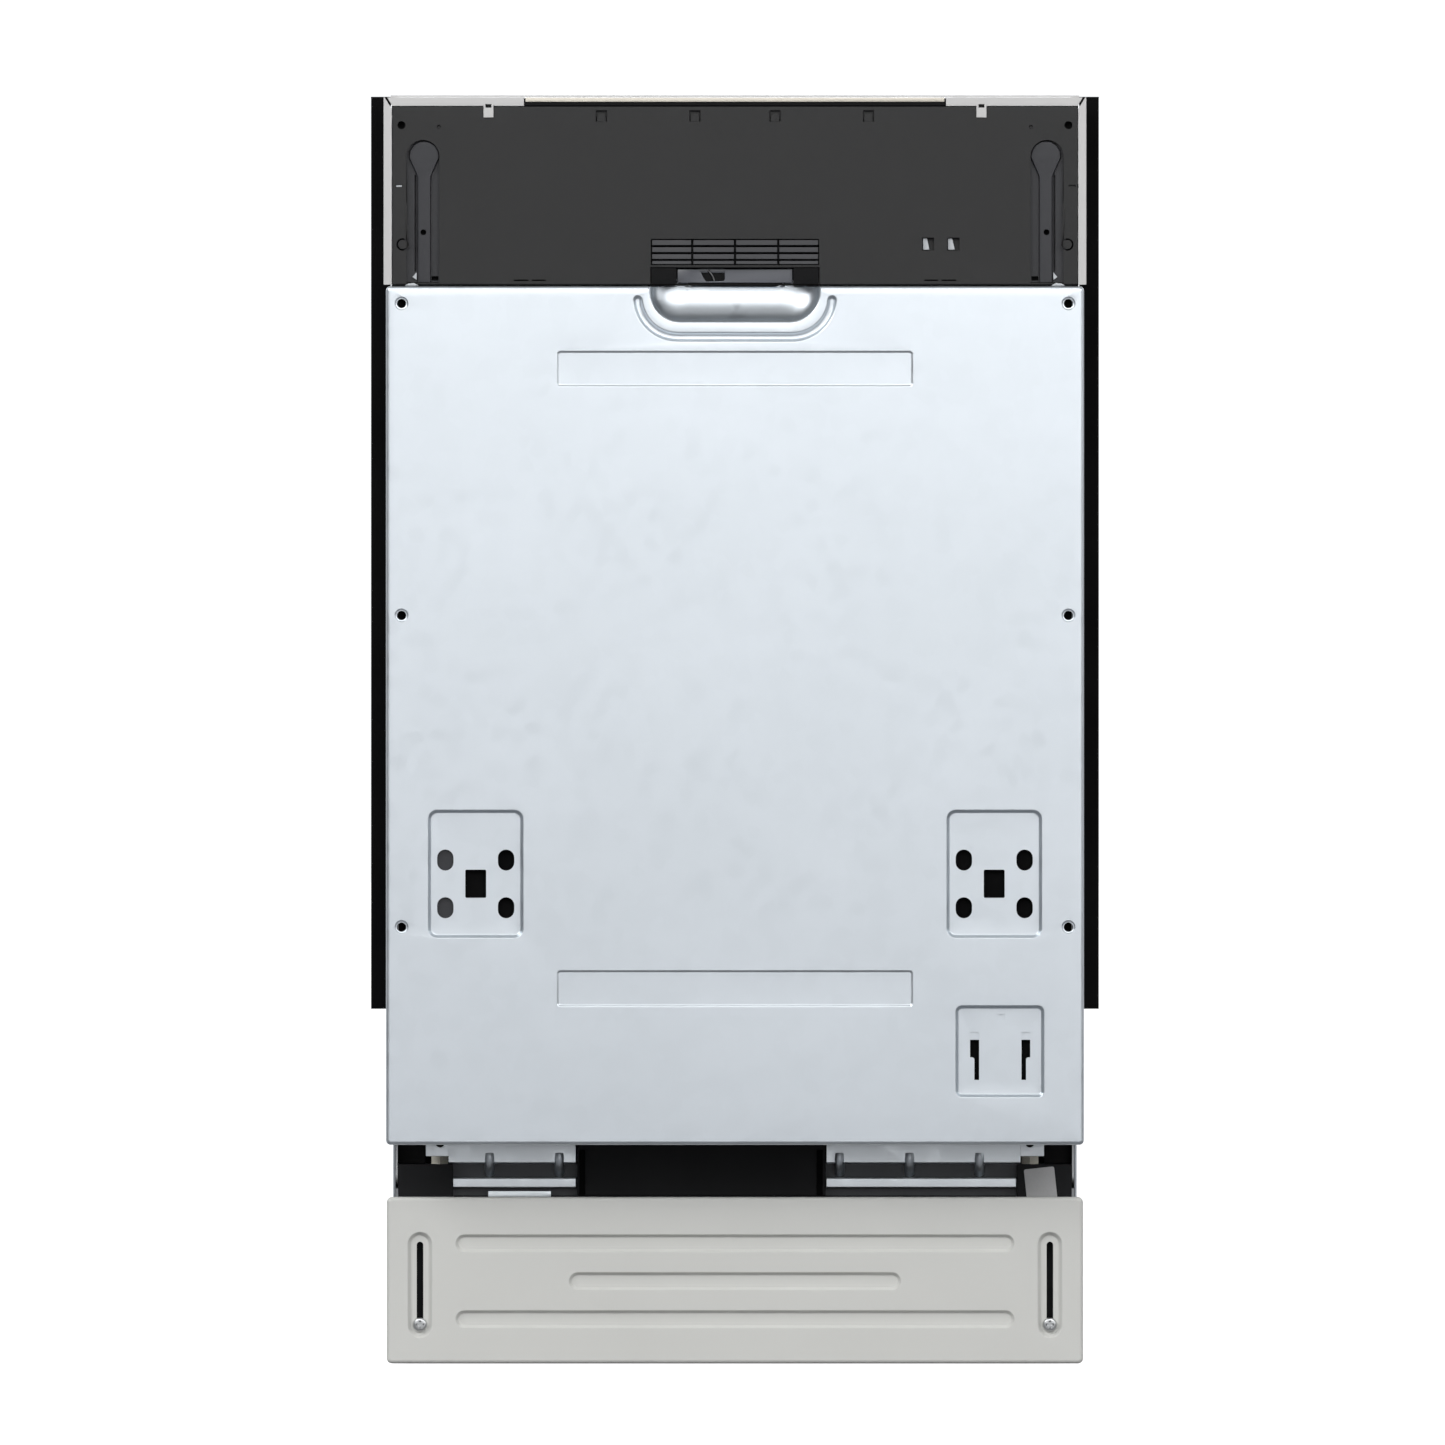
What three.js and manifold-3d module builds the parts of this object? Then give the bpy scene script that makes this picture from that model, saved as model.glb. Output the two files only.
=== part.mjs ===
// A slimline, fully integrated dishwasher: a 450 mm niche machine, 815 mm high and 550 mm deep,
// whose steel front waits for a furniture door. Millimetres, +Z up, the front faces -Y, and the
// origin is the middle of the footprint at floor level.
import * as THREE from "three";
import { mergeVertices } from "three/addons/utils/BufferGeometryUtils.js";
import Module from "manifold-3d";

const wasm = await Module();
wasm.setup();

// ---------------------------------------------------------------- driving dimensions
const HEIGHT = 815;
const DEPTH = 550;
const HALF_WIDTH = 224; // door and plinth, half of 448
const HALF_STRIPS = 234.25; // across the side strips that cover the niche gap
const SHEET = 1; // folded steel sheet
const GAP = 0.3; // between pieces that touch
const FRONT = -DEPTH / 2; // face of the steel door panel
const REAR = DEPTH / 2;

// Door, closed. It turns about the pivot line until its inner face is level with the tub floor.
const PIVOT = { y: -226, z: 166 };
const DOOR_BOTTOM = 141.2;
const PANEL_TOP = 692.4; // steel panel below, control panel above
const DOOR_TOP = 813.7;
const DOOR_BACK = -220; // inner face of the door
const DOOR_THIN_BACK = -238; // the door is thinner under the pivot line
const DOOR_STEP = 172; // where the thin part begins
const PIVOT_ZONE = 190; // the door's back is cut away at the hinges below this height
const LIP = 3.9; // folded edge of the inner panel beside the control panel
const CONTROL_FACE = -273;
const CONTROL_TOP = 807.7;
const STRIP_HALF = 135.1; // control strip on the door's top edge

// Cabinet behind the door.
const FRAME_FRONT = -217; // front flange of the tub, and the side panels' front edge
const SWEEP_BACK = -198; // nothing fixed stands before this below the pivot, the door swings there
const SWEEP_TOP = 158; // height above which the cabinet may come forward again
const SIDE = { inner: 219.2, outer: 220.2, low: 22, high: 812 };
const TUB = { half: 203, floor: 175.5, top: 799, back: 255 };
const SUMP = { x: 0, y: 7 };
const POST_Y = 22; // axis of the lower spray arm
const FILTER_Y = -34; // axis of the filter cup
const FOOT = { x: 190.25, y: -180 };
const REAR_FOOT_Y = 232;
const PLINTH = { top: 107, front: -229, back: -214 };
const SLOT = { x: 202.6, low: 22.5, high: 78.3, screw: 25 };

// Racks.
const RACK_DEPTH = 205; // half depth
const WIRE = 4;

// ---------------------------------------------------------------- finishes
const LOOKS = {
  galvanised: { color: 0xc4cdd2, roughness: 0.42, metalness: 0.85 },
  stainless: { color: 0xc9cbcc, roughness: 0.28, metalness: 0.95 },
  paintedSteel: { color: 0xbfbfba, roughness: 0.45, metalness: 0.1 },
  blackPlastic: { color: 0x16171a, roughness: 0.5, metalness: 0 },
  panelPlastic: { color: 0x39393a, roughness: 0.55, metalness: 0 },
  greyPlastic: { color: 0xb8bcc0, roughness: 0.5, metalness: 0 },
  creamPlastic: { color: 0xe4dfcf, roughness: 0.5, metalness: 0 },
  glossPlastic: { color: 0x0c0d0f, roughness: 0.12, metalness: 0 },
  rubber: { color: 0x1b1b1c, roughness: 0.8, metalness: 0 },
  felt: { color: 0x8d8f90, roughness: 0.95, metalness: 0 },
  coatedWire: { color: 0xa9adb1, roughness: 0.4, metalness: 0.2 },
  steel: { color: 0x9a9da0, roughness: 0.35, metalness: 0.9 },
};

// ---------------------------------------------------------------- solids
const ARC_STEPS = 2; // half the segments in a quarter turn of an outline

// Where an outline's own x, its own y and its thickness point.
const PLANES = {
  front: [new THREE.Vector3(1, 0, 0), new THREE.Vector3(0, 0, 1), new THREE.Vector3(0, -1, 0)],
  side: [new THREE.Vector3(0, 1, 0), new THREE.Vector3(0, 0, 1), new THREE.Vector3(1, 0, 0)],
  top: [new THREE.Vector3(1, 0, 0), new THREE.Vector3(0, 1, 0), new THREE.Vector3(0, 0, 1)],
};

function solidOf(geometry) {
  geometry.deleteAttribute("normal");
  geometry.deleteAttribute("uv");
  const merged = mergeVertices(geometry, 1e-4);
  return new wasm.Manifold(
    new wasm.Mesh({
      numProp: 3,
      vertProperties: new Float32Array(merged.attributes.position.array),
      triVerts: new Uint32Array(merged.index.array),
    }),
  );
}

function box([x0, x1], [y0, y1], [z0, z1]) {
  const geometry = new THREE.BoxGeometry(x1 - x0, y1 - y0, z1 - z0);
  geometry.translate((x0 + x1) / 2, (y0 + y1) / 2, (z0 + z1) / 2);
  return solidOf(geometry);
}

// An outline drawn in one of the planes, made solid from low to high across that plane.
function slab(outline, plane, low, high) {
  const geometry = new THREE.ExtrudeGeometry(outline, {
    depth: high - low,
    bevelEnabled: false,
    curveSegments: ARC_STEPS,
  });
  const axes = PLANES[plane];
  geometry.applyMatrix4(new THREE.Matrix4().makeBasis(...axes));
  const start = plane === "front" ? -high : low;
  geometry.translate(axes[2].x * start, axes[2].y * start, axes[2].z * start);
  return solidOf(geometry);
}

function rod(axis, [x, y, z], radius, low, high, sides = 16) {
  const geometry = new THREE.CylinderGeometry(radius, radius, high - low, sides);
  const middle = (low + high) / 2;
  if (axis === "x") geometry.rotateZ(-Math.PI / 2).translate(middle, y, z);
  if (axis === "y") geometry.translate(x, middle, z);
  if (axis === "z") geometry.rotateX(Math.PI / 2).translate(x, y, middle);
  return solidOf(geometry);
}

function roundedRect([x0, x1], [y0, y1], r) {
  const shape = new THREE.Shape();
  shape.absarc(x1 - r, y1 - r, r, 0, Math.PI / 2);
  shape.absarc(x0 + r, y1 - r, r, Math.PI / 2, Math.PI);
  shape.absarc(x0 + r, y0 + r, r, Math.PI, 1.5 * Math.PI);
  shape.absarc(x1 - r, y0 + r, r, 1.5 * Math.PI, 2 * Math.PI);
  return shape;
}

function polygon(points) {
  return new THREE.Shape(points.map(([x, y]) => new THREE.Vector2(x, y)));
}

const join = (first, ...rest) => rest.reduce((sum, solid) => sum.add(solid), first);
const cut = (first, ...rest) => rest.reduce((left, tool) => left.subtract(tool), first);

// The span between two distances from the centre line, on the right (+1) or the left (-1).
const span = (side, inner, outer) => (side > 0 ? [inner, outer] : [-outer, -inner]);
const around = (centre, half) => [centre - half, centre + half];
const SIDES = [
  { side: -1, name: "left" },
  { side: 1, name: "right" },
];

const dishwasher = new THREE.Group();
dishwasher.name = "dishwasher";

function part(name, solid, look) {
  const { vertProperties, triVerts } = solid.getMesh();
  const geometry = new THREE.BufferGeometry();
  geometry.setAttribute("position", new THREE.BufferAttribute(vertProperties, 3));
  geometry.setIndex(new THREE.BufferAttribute(triVerts, 1));
  geometry.computeVertexNormals();
  const mesh = new THREE.Mesh(geometry, new THREE.MeshStandardMaterial(LOOKS[look]));
  mesh.name = name;
  dishwasher.add(mesh);
}

// ---------------------------------------------------------------- door
const SCOOP = { half: 54, low: 670, depth: 17, corner: 19 };
const POCKET_DEPTH = 3; // pockets pressed into the steel panel
const BRACKET = { x: 166.4, half: 30.85, low: 273.8, high: 356.5 };
const BRACKET_OVALS = { across: [-19.5, 19.5], heights: [293.4, 324], half: 5.25, tall: 6.75 };
const BRACKET_SQUARE = { z: 308.8, half: 6.7, tall: 9.05 };
const HANGER = { x: 170, half: 28.7, low: 172, high: 230.6 };
// The hanger's two slots: each is wide above the step and narrow below it.
const HANGER_SLOTS = [
  { wide: [150.9, 156.7], narrow: [153.6, 156.7] },
  { wide: [183.9, 189.5], narrow: [183.9, 186.7] },
];
const HANGER_SLOT = { top: 213.6, step: 197.3, low: 183 };
const PANEL_SCREWS = { x: 214, heights: [681.2, 481, 281], radius: 3 };

// A pocket pressed into a sheet whose face is at y, as the piece to add and the space to cut.
function pressedPocket(spanX, spanZ, corner, face, depth) {
  const floor = face + depth;
  const outerX = [spanX[0] - SHEET, spanX[1] + SHEET];
  const outerZ = [spanZ[0] - SHEET, spanZ[1] + SHEET];
  return {
    wall: slab(roundedRect(outerX, outerZ, corner + SHEET), "front", face, floor + SHEET),
    space: slab(roundedRect(spanX, spanZ, corner), "front", face - 1, floor),
  };
}

function outerDoorPanel() {
  const back = DOOR_THIN_BACK - 2;
  const shell = cut(
    box([-HALF_WIDTH, HALF_WIDTH], [FRONT, back], [DOOR_BOTTOM, PANEL_TOP]),
    box(
      [-HALF_WIDTH + SHEET, HALF_WIDTH - SHEET],
      [FRONT + SHEET, back + 1],
      [DOOR_BOTTOM + SHEET, PANEL_TOP + 1],
    ),
  );
  const scoop = pressedPocket(
    [-SCOOP.half, SCOOP.half],
    [SCOOP.low, PANEL_TOP + 40],
    SCOOP.corner,
    FRONT,
    SCOOP.depth,
  );
  const above = box([-100, 100], [FRONT - 5, back + 5], [PANEL_TOP, PANEL_TOP + 60]);
  const bracketHeight = [BRACKET.low, BRACKET.high];
  const hangerWidth = around(HANGER.x, HANGER.half);
  const pockets = [
    pressedPocket(around(-BRACKET.x, BRACKET.half), bracketHeight, 6, FRONT, POCKET_DEPTH),
    pressedPocket(around(BRACKET.x, BRACKET.half), bracketHeight, 6, FRONT, POCKET_DEPTH),
    pressedPocket(hangerWidth, [HANGER.low, HANGER.high], 4, FRONT, POCKET_DEPTH),
  ];
  const walls = join(shell, cut(scoop.wall, above), ...pockets.map((pocket) => pocket.wall));
  const spaces = pockets.map((pocket) => pocket.space);
  return cut(walls, scoop.space, ...spaces, ...doorPanelHoles());
}

function doorPanelHoles() {
  const holes = [];
  const through = [FRONT - 1, FRONT + POCKET_DEPTH + 2];
  for (const side of [-1, 1]) {
    const x = side * BRACKET.x;
    const square = BRACKET_SQUARE;
    holes.push(box(around(x, square.half), through, around(square.z, square.tall)));
    for (const across of BRACKET_OVALS.across) {
      for (const z of BRACKET_OVALS.heights) {
        const { half, tall } = BRACKET_OVALS;
        const oval = roundedRect(around(x + across, half), around(z, tall), half - 0.05);
        holes.push(slab(oval, "front", ...through));
      }
    }
    for (const z of PANEL_SCREWS.heights) {
      holes.push(rod("y", [side * PANEL_SCREWS.x, 0, z], PANEL_SCREWS.radius, ...through, 12));
    }
  }
  for (const { wide, narrow } of HANGER_SLOTS) {
    holes.push(box(wide, through, [HANGER_SLOT.step, HANGER_SLOT.top]));
    holes.push(box(narrow, through, [HANGER_SLOT.low, HANGER_SLOT.step + 0.7]));
  }
  return holes;
}

const DISPENSER_HOLE = { half: 75, low: 395, high: 525 };
const KEEPER_HOLE = { half: 12, low: 776, high: 794 };
const THIN_HALF = 210; // the door is narrower behind the hinges

function innerDoorPanel() {
  const wall = HALF_WIDTH - LIP; // side walls stand inside the steel panel's own returns
  const thinFace = [DOOR_THIN_BACK - SHEET, DOOR_THIN_BACK];
  const step = [DOOR_STEP, DOOR_STEP + SHEET];
  const faces = [
    box([-wall - SHEET, wall + SHEET], [DOOR_BACK - SHEET, DOOR_BACK], [DOOR_STEP, DOOR_TOP]),
    box([-THIN_HALF, THIN_HALF], [DOOR_THIN_BACK - SHEET, DOOR_BACK], step),
    box([-THIN_HALF, THIN_HALF], thinFace, [DOOR_BOTTOM + 1.5, DOOR_STEP + SHEET]),
  ];
  for (const side of [-1, 1]) {
    const wallSpan = span(side, wall, wall + SHEET);
    const lipSpan = span(side, wall, HALF_WIDTH);
    const topSpan = span(side, STRIP_HALF + GAP, wall + SHEET);
    faces.push(
      box(wallSpan, [-262, DOOR_BACK], [PIVOT_ZONE, PANEL_TOP]),
      box(wallSpan, [CONTROL_FACE, DOOR_BACK], [PANEL_TOP, DOOR_TOP]),
      box(lipSpan, [CONTROL_FACE, CONTROL_FACE + SHEET], [PANEL_TOP + 0.6, DOOR_TOP]),
      box(topSpan, [CONTROL_FACE, DOOR_BACK], [DOOR_TOP - SHEET, DOOR_TOP]),
      box(topSpan, [CONTROL_FACE, CONTROL_FACE + SHEET], [808, DOOR_TOP]),
    );
  }
  const through = [DOOR_BACK - 5, DOOR_BACK + 1];
  const notches = [-1, 1].map((side) =>
    box(span(side, THIN_HALF, HALF_WIDTH + 1), [DOOR_BACK - 10, through[1]], [DOOR_STEP - 1, PIVOT_ZONE]),
  );
  const openings = [DISPENSER_HOLE, KEEPER_HOLE].map(({ half, low, high }) =>
    box([-half, half], through, [low, high]),
  );
  return cut(join(...faces), ...notches, ...openings);
}

const CHANNEL = { x: 200, half: 10.9, low: 695, high: 786.1, depth: 8 };
const HANDLE = { half: 54, low: 692.4, high: 704.2, back: -246 };
const VENT = { half: 54, low: 705.9, rows: 4, columns: 4, pitch: 4.5, slot: 2.8, bar: 1.6 };
const CLIP_WINDOWS = { spans: [[119.9, 128], [136, 144.3]], low: 715, high: 723.6 };
const TOP_HOLE = { x: 214, z: 795.7, radius: 2.6 };

function ventSlots() {
  const slots = [];
  const columnWidth = (2 * VENT.half) / VENT.columns;
  for (let row = 0; row < VENT.rows; row += 1) {
    const low = VENT.low + row * VENT.pitch;
    for (let column = 0; column < VENT.columns; column += 1) {
      const left = -VENT.half + column * columnWidth;
      slots.push(
        box(
          [left + VENT.bar / 2, left + columnWidth - VENT.bar / 2],
          [CONTROL_FACE - 1, CONTROL_FACE + 5],
          [low, low + VENT.slot],
        ),
      );
    }
  }
  return slots;
}

function controlPanel() {
  const wall = 2.5;
  const half = HALF_WIDTH - LIP - GAP;
  const low = PANEL_TOP + GAP;
  const back = -242;
  const through = [CONTROL_FACE - 1, CONTROL_FACE + 5];
  const shell = cut(
    box([-half, half], [CONTROL_FACE, back], [low, CONTROL_TOP]),
    box(
      [-half + wall, half - wall],
      [CONTROL_FACE + wall, back + 1],
      [low + wall, CONTROL_TOP - wall],
    ),
  );
  const walls = [shell];
  const spaces = [];
  for (const side of [-1, 1]) {
    const pocket = pressedPocket(
      around(side * CHANNEL.x, CHANNEL.half),
      [CHANNEL.low, CHANNEL.high],
      CHANNEL.half - 0.1,
      CONTROL_FACE,
      CHANNEL.depth,
    );
    walls.push(pocket.wall);
    spaces.push(pocket.space);
    spaces.push(rod("y", [side * TOP_HOLE.x, 0, TOP_HOLE.z], TOP_HOLE.radius, ...through, 10));
  }
  const housing = {
    width: [-HANDLE.half - 2, HANDLE.half + 2],
    depth: [CONTROL_FACE, HANDLE.back + 2],
    height: [low, HANDLE.high + 1.5],
  };
  walls.push(box(housing.width, housing.depth, housing.height));
  spaces.push(
    box([-HANDLE.half, HANDLE.half], [CONTROL_FACE - 1, HANDLE.back], [low - 1, HANDLE.high]),
    ...CLIP_WINDOWS.spans.map((width) => box(width, through, [CLIP_WINDOWS.low, CLIP_WINDOWS.high])),
    ...ventSlots(),
  );
  return cut(join(...walls), ...spaces);
}

const BUTTONS = [
  { name: "button_power", x: -104 },
  { name: "button_program", x: -76 },
  { name: "button_half_load", x: 60 },
  { name: "button_delay", x: 84 },
  { name: "button_start", x: 108 },
];
const BUTTON = { y: -247, radius: 5, low: 810.4, high: 814.6 };
const DISPLAY = { half: 38, front: -259, back: -237 };
const STRIP = { low: 808, high: 813.7, front: -272, back: DOOR_BACK - SHEET - GAP };

function controlStrip() {
  const holes = BUTTONS.map(({ x }) =>
    rod("z", [x, BUTTON.y, 0], BUTTON.radius + GAP, STRIP.low - 1, STRIP.high + 1, 20),
  );
  return cut(
    box([-STRIP_HALF, STRIP_HALF], [STRIP.front, STRIP.back], [STRIP.low, STRIP.high]),
    box([-DISPLAY.half, DISPLAY.half], [DISPLAY.front, DISPLAY.back], [STRIP.high - 2, STRIP.high + 1]),
    ...holes,
  );
}

function displayWindow() {
  return box(
    [-DISPLAY.half + GAP, DISPLAY.half - GAP],
    [DISPLAY.front + GAP, DISPLAY.back - GAP],
    [STRIP.high - 2 + GAP, STRIP.high + 0.3],
  );
}

const controlButton = (x) => rod("z", [x, BUTTON.y, 0], BUTTON.radius, BUTTON.low, BUTTON.high, 20);

function latchHandle() {
  const flap = box([-36.9, 36.9], [-269, -266.5], [694.3, 703.4]);
  const web = box([-36.9, 36.9], [-269, -250], [701, 703.4]);
  const tongue = box([-8, 8], [-253, -250], [695, 703.4]);
  return join(flap, web, tongue);
}

function doorLatch() {
  const body = box([-26, 26], [-262, -223], [766, 803]);
  const mouth = box([-10, 10], [-254, -222], [777, 793]);
  return cut(body, mouth);
}

const DISPENSER = { half: 74.7, low: 395.3, high: 524.7, back: -248, face: -216.5 };
const CUP = { left: -66, right: 6, low: 449, high: 513, floor: -241 };
const CAP = { x: 42, z: 468, radius: 17 };
const CATCH = { x: -30, half: 9, low: 517.2, high: 522.2 };
const LID_FACE = -213.5; // the lid, the cap and the catch end level

function dispenserBody() {
  const { half, low, high, back, face } = DISPENSER;
  return cut(
    join(
      box([-half, half], [back, face], [low, high]),
      slab(roundedRect([-half - 4, half + 4], [low - 4, high + 4], 8), "front", DOOR_BACK + GAP, face),
    ),
    box([CUP.left, CUP.right], [CUP.floor, face + 1], [CUP.low, CUP.high]),
    rod("y", [CAP.x, 0, CAP.z], CAP.radius + 1, face - 4, face + 1, 24),
    box(around(CATCH.x, CATCH.half + 0.5), [face - 5, face + 1], [CATCH.low - 0.5, CATCH.high + 0.5]),
  );
}

function dispenserLid() {
  const overlap = 3;
  const plate = box(
    [CUP.left - overlap, CUP.right + overlap],
    [DISPENSER.face + GAP, LID_FACE],
    [CUP.low - overlap, CUP.high + overlap],
  );
  const grip = box(
    [CUP.left + 10, CUP.right - 10],
    [LID_FACE - 0.5, LID_FACE + 2],
    [CUP.low + 2, CUP.low + 6],
  );
  return join(plate, grip);
}

function rinseAidCap() {
  const face = DISPENSER.face;
  return join(
    rod("y", [CAP.x, 0, CAP.z], CAP.radius, face - 4 + GAP, LID_FACE, 24),
    box(around(CAP.x, 13), [LID_FACE - 0.5, LID_FACE + 2.5], around(CAP.z, 2.5)),
  );
}

const dispenserCatch = () =>
  box(around(CATCH.x, CATCH.half), [DISPENSER.face - 2.5, LID_FACE], [CATCH.low, CATCH.high]);

const bottomSeal = () => box([-204, 204], [DOOR_BACK + GAP, FRAME_FRONT - GAP], [178, 186]);

const HINGE = { boss: 8, pin: 3.5, armTop: 330, arm: [212.5, 216.5], plate: [217.3, 218.8] };

function hingeArm(side) {
  const reach = span(side, ...HINGE.arm);
  const corner = HINGE.boss - 0.1;
  const bar = roundedRect([-262, PIVOT.y + HINGE.boss], around(PIVOT.z, HINGE.boss), corner);
  const upright = roundedRect([-264, -244], [PIVOT.z - HINGE.boss, HINGE.armTop], 4);
  const bore = rod("x", [0, PIVOT.y, PIVOT.z], HINGE.pin + GAP, reach[0] - 1, reach[1] + 1, 20);
  return cut(join(slab(bar, "side", ...reach), slab(upright, "side", ...reach)), bore);
}

part("outer_door_panel", outerDoorPanel(), "galvanised");
part("inner_door_panel", innerDoorPanel(), "stainless");
part("control_panel", controlPanel(), "panelPlastic");
part("control_strip", controlStrip(), "blackPlastic");
part("display_window", displayWindow(), "glossPlastic");
for (const { name, x } of BUTTONS) part(name, controlButton(x), "greyPlastic");
part("latch_handle", latchHandle(), "glossPlastic");
part("door_latch", doorLatch(), "blackPlastic");
part("dispenser_body", dispenserBody(), "greyPlastic");
part("dispenser_lid", dispenserLid(), "greyPlastic");
part("dispenser_catch", dispenserCatch(), "blackPlastic");
part("rinse_aid_cap", rinseAidCap(), "blackPlastic");
part("bottom_seal", bottomSeal(), "rubber");
for (const { side, name } of SIDES) part(`hinge_arm_${name}`, hingeArm(side), "steel");

// ---------------------------------------------------------------- cabinet
function sidePanel(side) {
  const outline = polygon([
    [SWEEP_BACK, SIDE.low],
    [REAR - 3, SIDE.low],
    [REAR - 3, SIDE.high],
    [FRAME_FRONT, SIDE.high],
    [FRAME_FRONT, SWEEP_TOP],
    [SWEEP_BACK, SWEEP_TOP],
  ]);
  const sheet = slab(outline, "side", ...span(side, SIDE.inner, SIDE.outer));
  const foldWidth = span(side, SIDE.inner - 9, SIDE.outer);
  const topFold = box(foldWidth, [-200, REAR - 3], [SIDE.high - SHEET, SIDE.high]);
  return join(sheet, topFold);
}

const BACK_PANEL = { half: 217, depth: 14, low: 110, high: 808 };

function backPanel() {
  const { half, depth, low, high } = BACK_PANEL;
  return cut(
    box([-half, half], [REAR - depth, REAR], [low, high]),
    box(
      [-half + SHEET, half - SHEET],
      [REAR - depth - 1, REAR - SHEET],
      [low + SHEET, high - SHEET],
    ),
  );
}

const SALT = { x: -108, y: -60 };
const PAN = { half: 150, front: -185, back: 215, depth: 20 }; // sunk into the tub's floor

function tub() {
  const { half, floor, top, back } = TUB;
  const panFloor = floor - PAN.depth;
  const outer = [
    box([-half, half], [FRAME_FRONT, back], [floor - SHEET, top + SHEET]),
    box([-PAN.half, PAN.half], [PAN.front, PAN.back], [panFloor - SHEET, floor]),
    box([-217, 217], [FRAME_FRONT, FRAME_FRONT + SHEET], [160, 813.5]),
    box([-208, 208], [FRAME_FRONT, FRAME_FRONT + SHEET], [813, 814.8]),
  ];
  return cut(
    join(...outer),
    box([-half + SHEET, half - SHEET], [FRAME_FRONT - 1, back - SHEET], [floor, top]),
    box(
      [-PAN.half + SHEET, PAN.half - SHEET],
      [PAN.front + SHEET, PAN.back - SHEET],
      [panFloor, floor + 1],
    ),
    rod("z", [SUMP.x, SUMP.y, 0], 72, 150, 160, 32),
    rod("z", [SALT.x, SALT.y, 0], 24, 150, 160, 24),
  );
}

function doorGasket() {
  const outer = roundedRect([-211, 211], [150, 809], 12);
  const inner = roundedRect([-205, 205], [150, 803], 8);
  const faces = [DOOR_BACK + GAP, FRAME_FRONT - GAP];
  return cut(
    slab(outer, "front", ...faces),
    slab(inner, "front", faces[0] - 1, faces[1] + 1),
    box([-230, 230], [faces[0] - 1, faces[1] + 1], [140, PIVOT_ZONE]),
  );
}

function topFelt() {
  return cut(
    box([-208.5, 208.5], [-200, 258], [230, 806]),
    box([-203 - GAP, 203 + GAP], [-201, 259], [229, 800 + GAP]),
  );
}

function worktopBracket(side) {
  return join(
    box(span(side, 94.6, 134.8), [-215.5, -150], [813.5, 814.8]),
    box(span(side, 94.6, 134.8), [-151.5, -150], [806.5, 814.8]),
  );
}

function sideStrip(side) {
  const low = 228;
  return join(
    box(span(side, SIDE.outer + GAP, HALF_STRIPS), [FRAME_FRONT, FRAME_FRONT + 1.6], [low, HEIGHT]),
    box(span(side, SIDE.outer + GAP, SIDE.outer + 2), [FRAME_FRONT, -190], [low, HEIGHT]),
    box(span(side, 208.6, HALF_STRIPS), [FRAME_FRONT, -190], [HEIGHT - 1.2, HEIGHT]),
  );
}

function hingePlate(side) {
  const reach = span(side, ...HINGE.plate);
  const corner = HINGE.boss - 0.1;
  const finger = roundedRect([PIVOT.y - HINGE.boss, -190], around(PIVOT.z, HINGE.boss), corner);
  const body = roundedRect([SWEEP_BACK + 2, -105], [112, 205], 8);
  const pin = rod("x", [0, PIVOT.y, PIVOT.z], HINGE.pin, ...span(side, 211.5, 218), 20);
  return join(slab(finger, "side", ...reach), slab(body, "side", ...reach), pin);
}

const latchKeeper = () =>
  join(
    box([-10, 10], [-213, -185], [796, TUB.top - GAP]),
    box([-10, 10], [-213, -210], [782, TUB.top - GAP]),
    box([-6, 6], [-246, -210], [782, 786]),
    box([-6, 6], [-246, -243], [782, 790]),
  );

part("tub", tub(), "stainless");
part("back_panel", backPanel(), "galvanised");
part("door_gasket", doorGasket(), "rubber");
part("top_felt", topFelt(), "felt");
part("latch_keeper", latchKeeper(), "steel");
for (const { side, name } of SIDES) {
  part(`side_panel_${name}`, sidePanel(side), "galvanised");
  part(`side_strip_${name}`, sideStrip(side), "rubber");
  part(`worktop_bracket_${name}`, worktopBracket(side), "galvanised");
  part(`hinge_plate_${name}`, hingePlate(side), "steel");
}

// ---------------------------------------------------------------- base
const TOWER = { inner: 181.6, outer: 217, back: -160, low: 100, high: 127.7 };
const BORE = 7.2; // foot spindle's guide

function baseTray() {
  const floor = cut(
    box([-217, 217], [SWEEP_BACK + 2, 262], [18, 46]),
    box([-215, 215], [SWEEP_BACK + 4, 260], [20.5, 47]),
  );
  const pieces = [floor];
  const bores = [];
  for (const side of [-1, 1]) {
    pieces.push(
      box(span(side, TOWER.inner, TOWER.outer), [-212, TOWER.back], [18, TOWER.low]),
      box(span(side, TOWER.inner, TOWER.outer), [SWEEP_BACK + 1, TOWER.back], [18, TOWER.high]),
    );
    bores.push(rod("z", [side * FOOT.x, FOOT.y, 0], BORE, 10, 130, 20));
  }
  pieces.push(box([-20, 20], [REAR_FOOT_Y - 20, REAR_FOOT_Y + 20], [18, 80]));
  bores.push(rod("z", [0, REAR_FOOT_Y, 0], BORE, 10, 90, 20));
  return cut(join(...pieces), ...bores);
}

function frontFoot(side) {
  const centre = [side * FOOT.x, FOOT.y, 0];
  return join(
    rod("z", centre, 20, 0, 9, 24),
    rod("z", centre, 5.5, 5, TOWER.high, 16),
    rod("z", centre, 6.2, TOWER.high - 1, 133.5, 6),
  );
}

const rearFoot = () =>
  join(
    rod("z", [0, REAR_FOOT_Y, 0], 24, 0, 9, 24),
    rod("z", [0, REAR_FOOT_Y, 0], 5.5, 5, 76, 16),
  );

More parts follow.
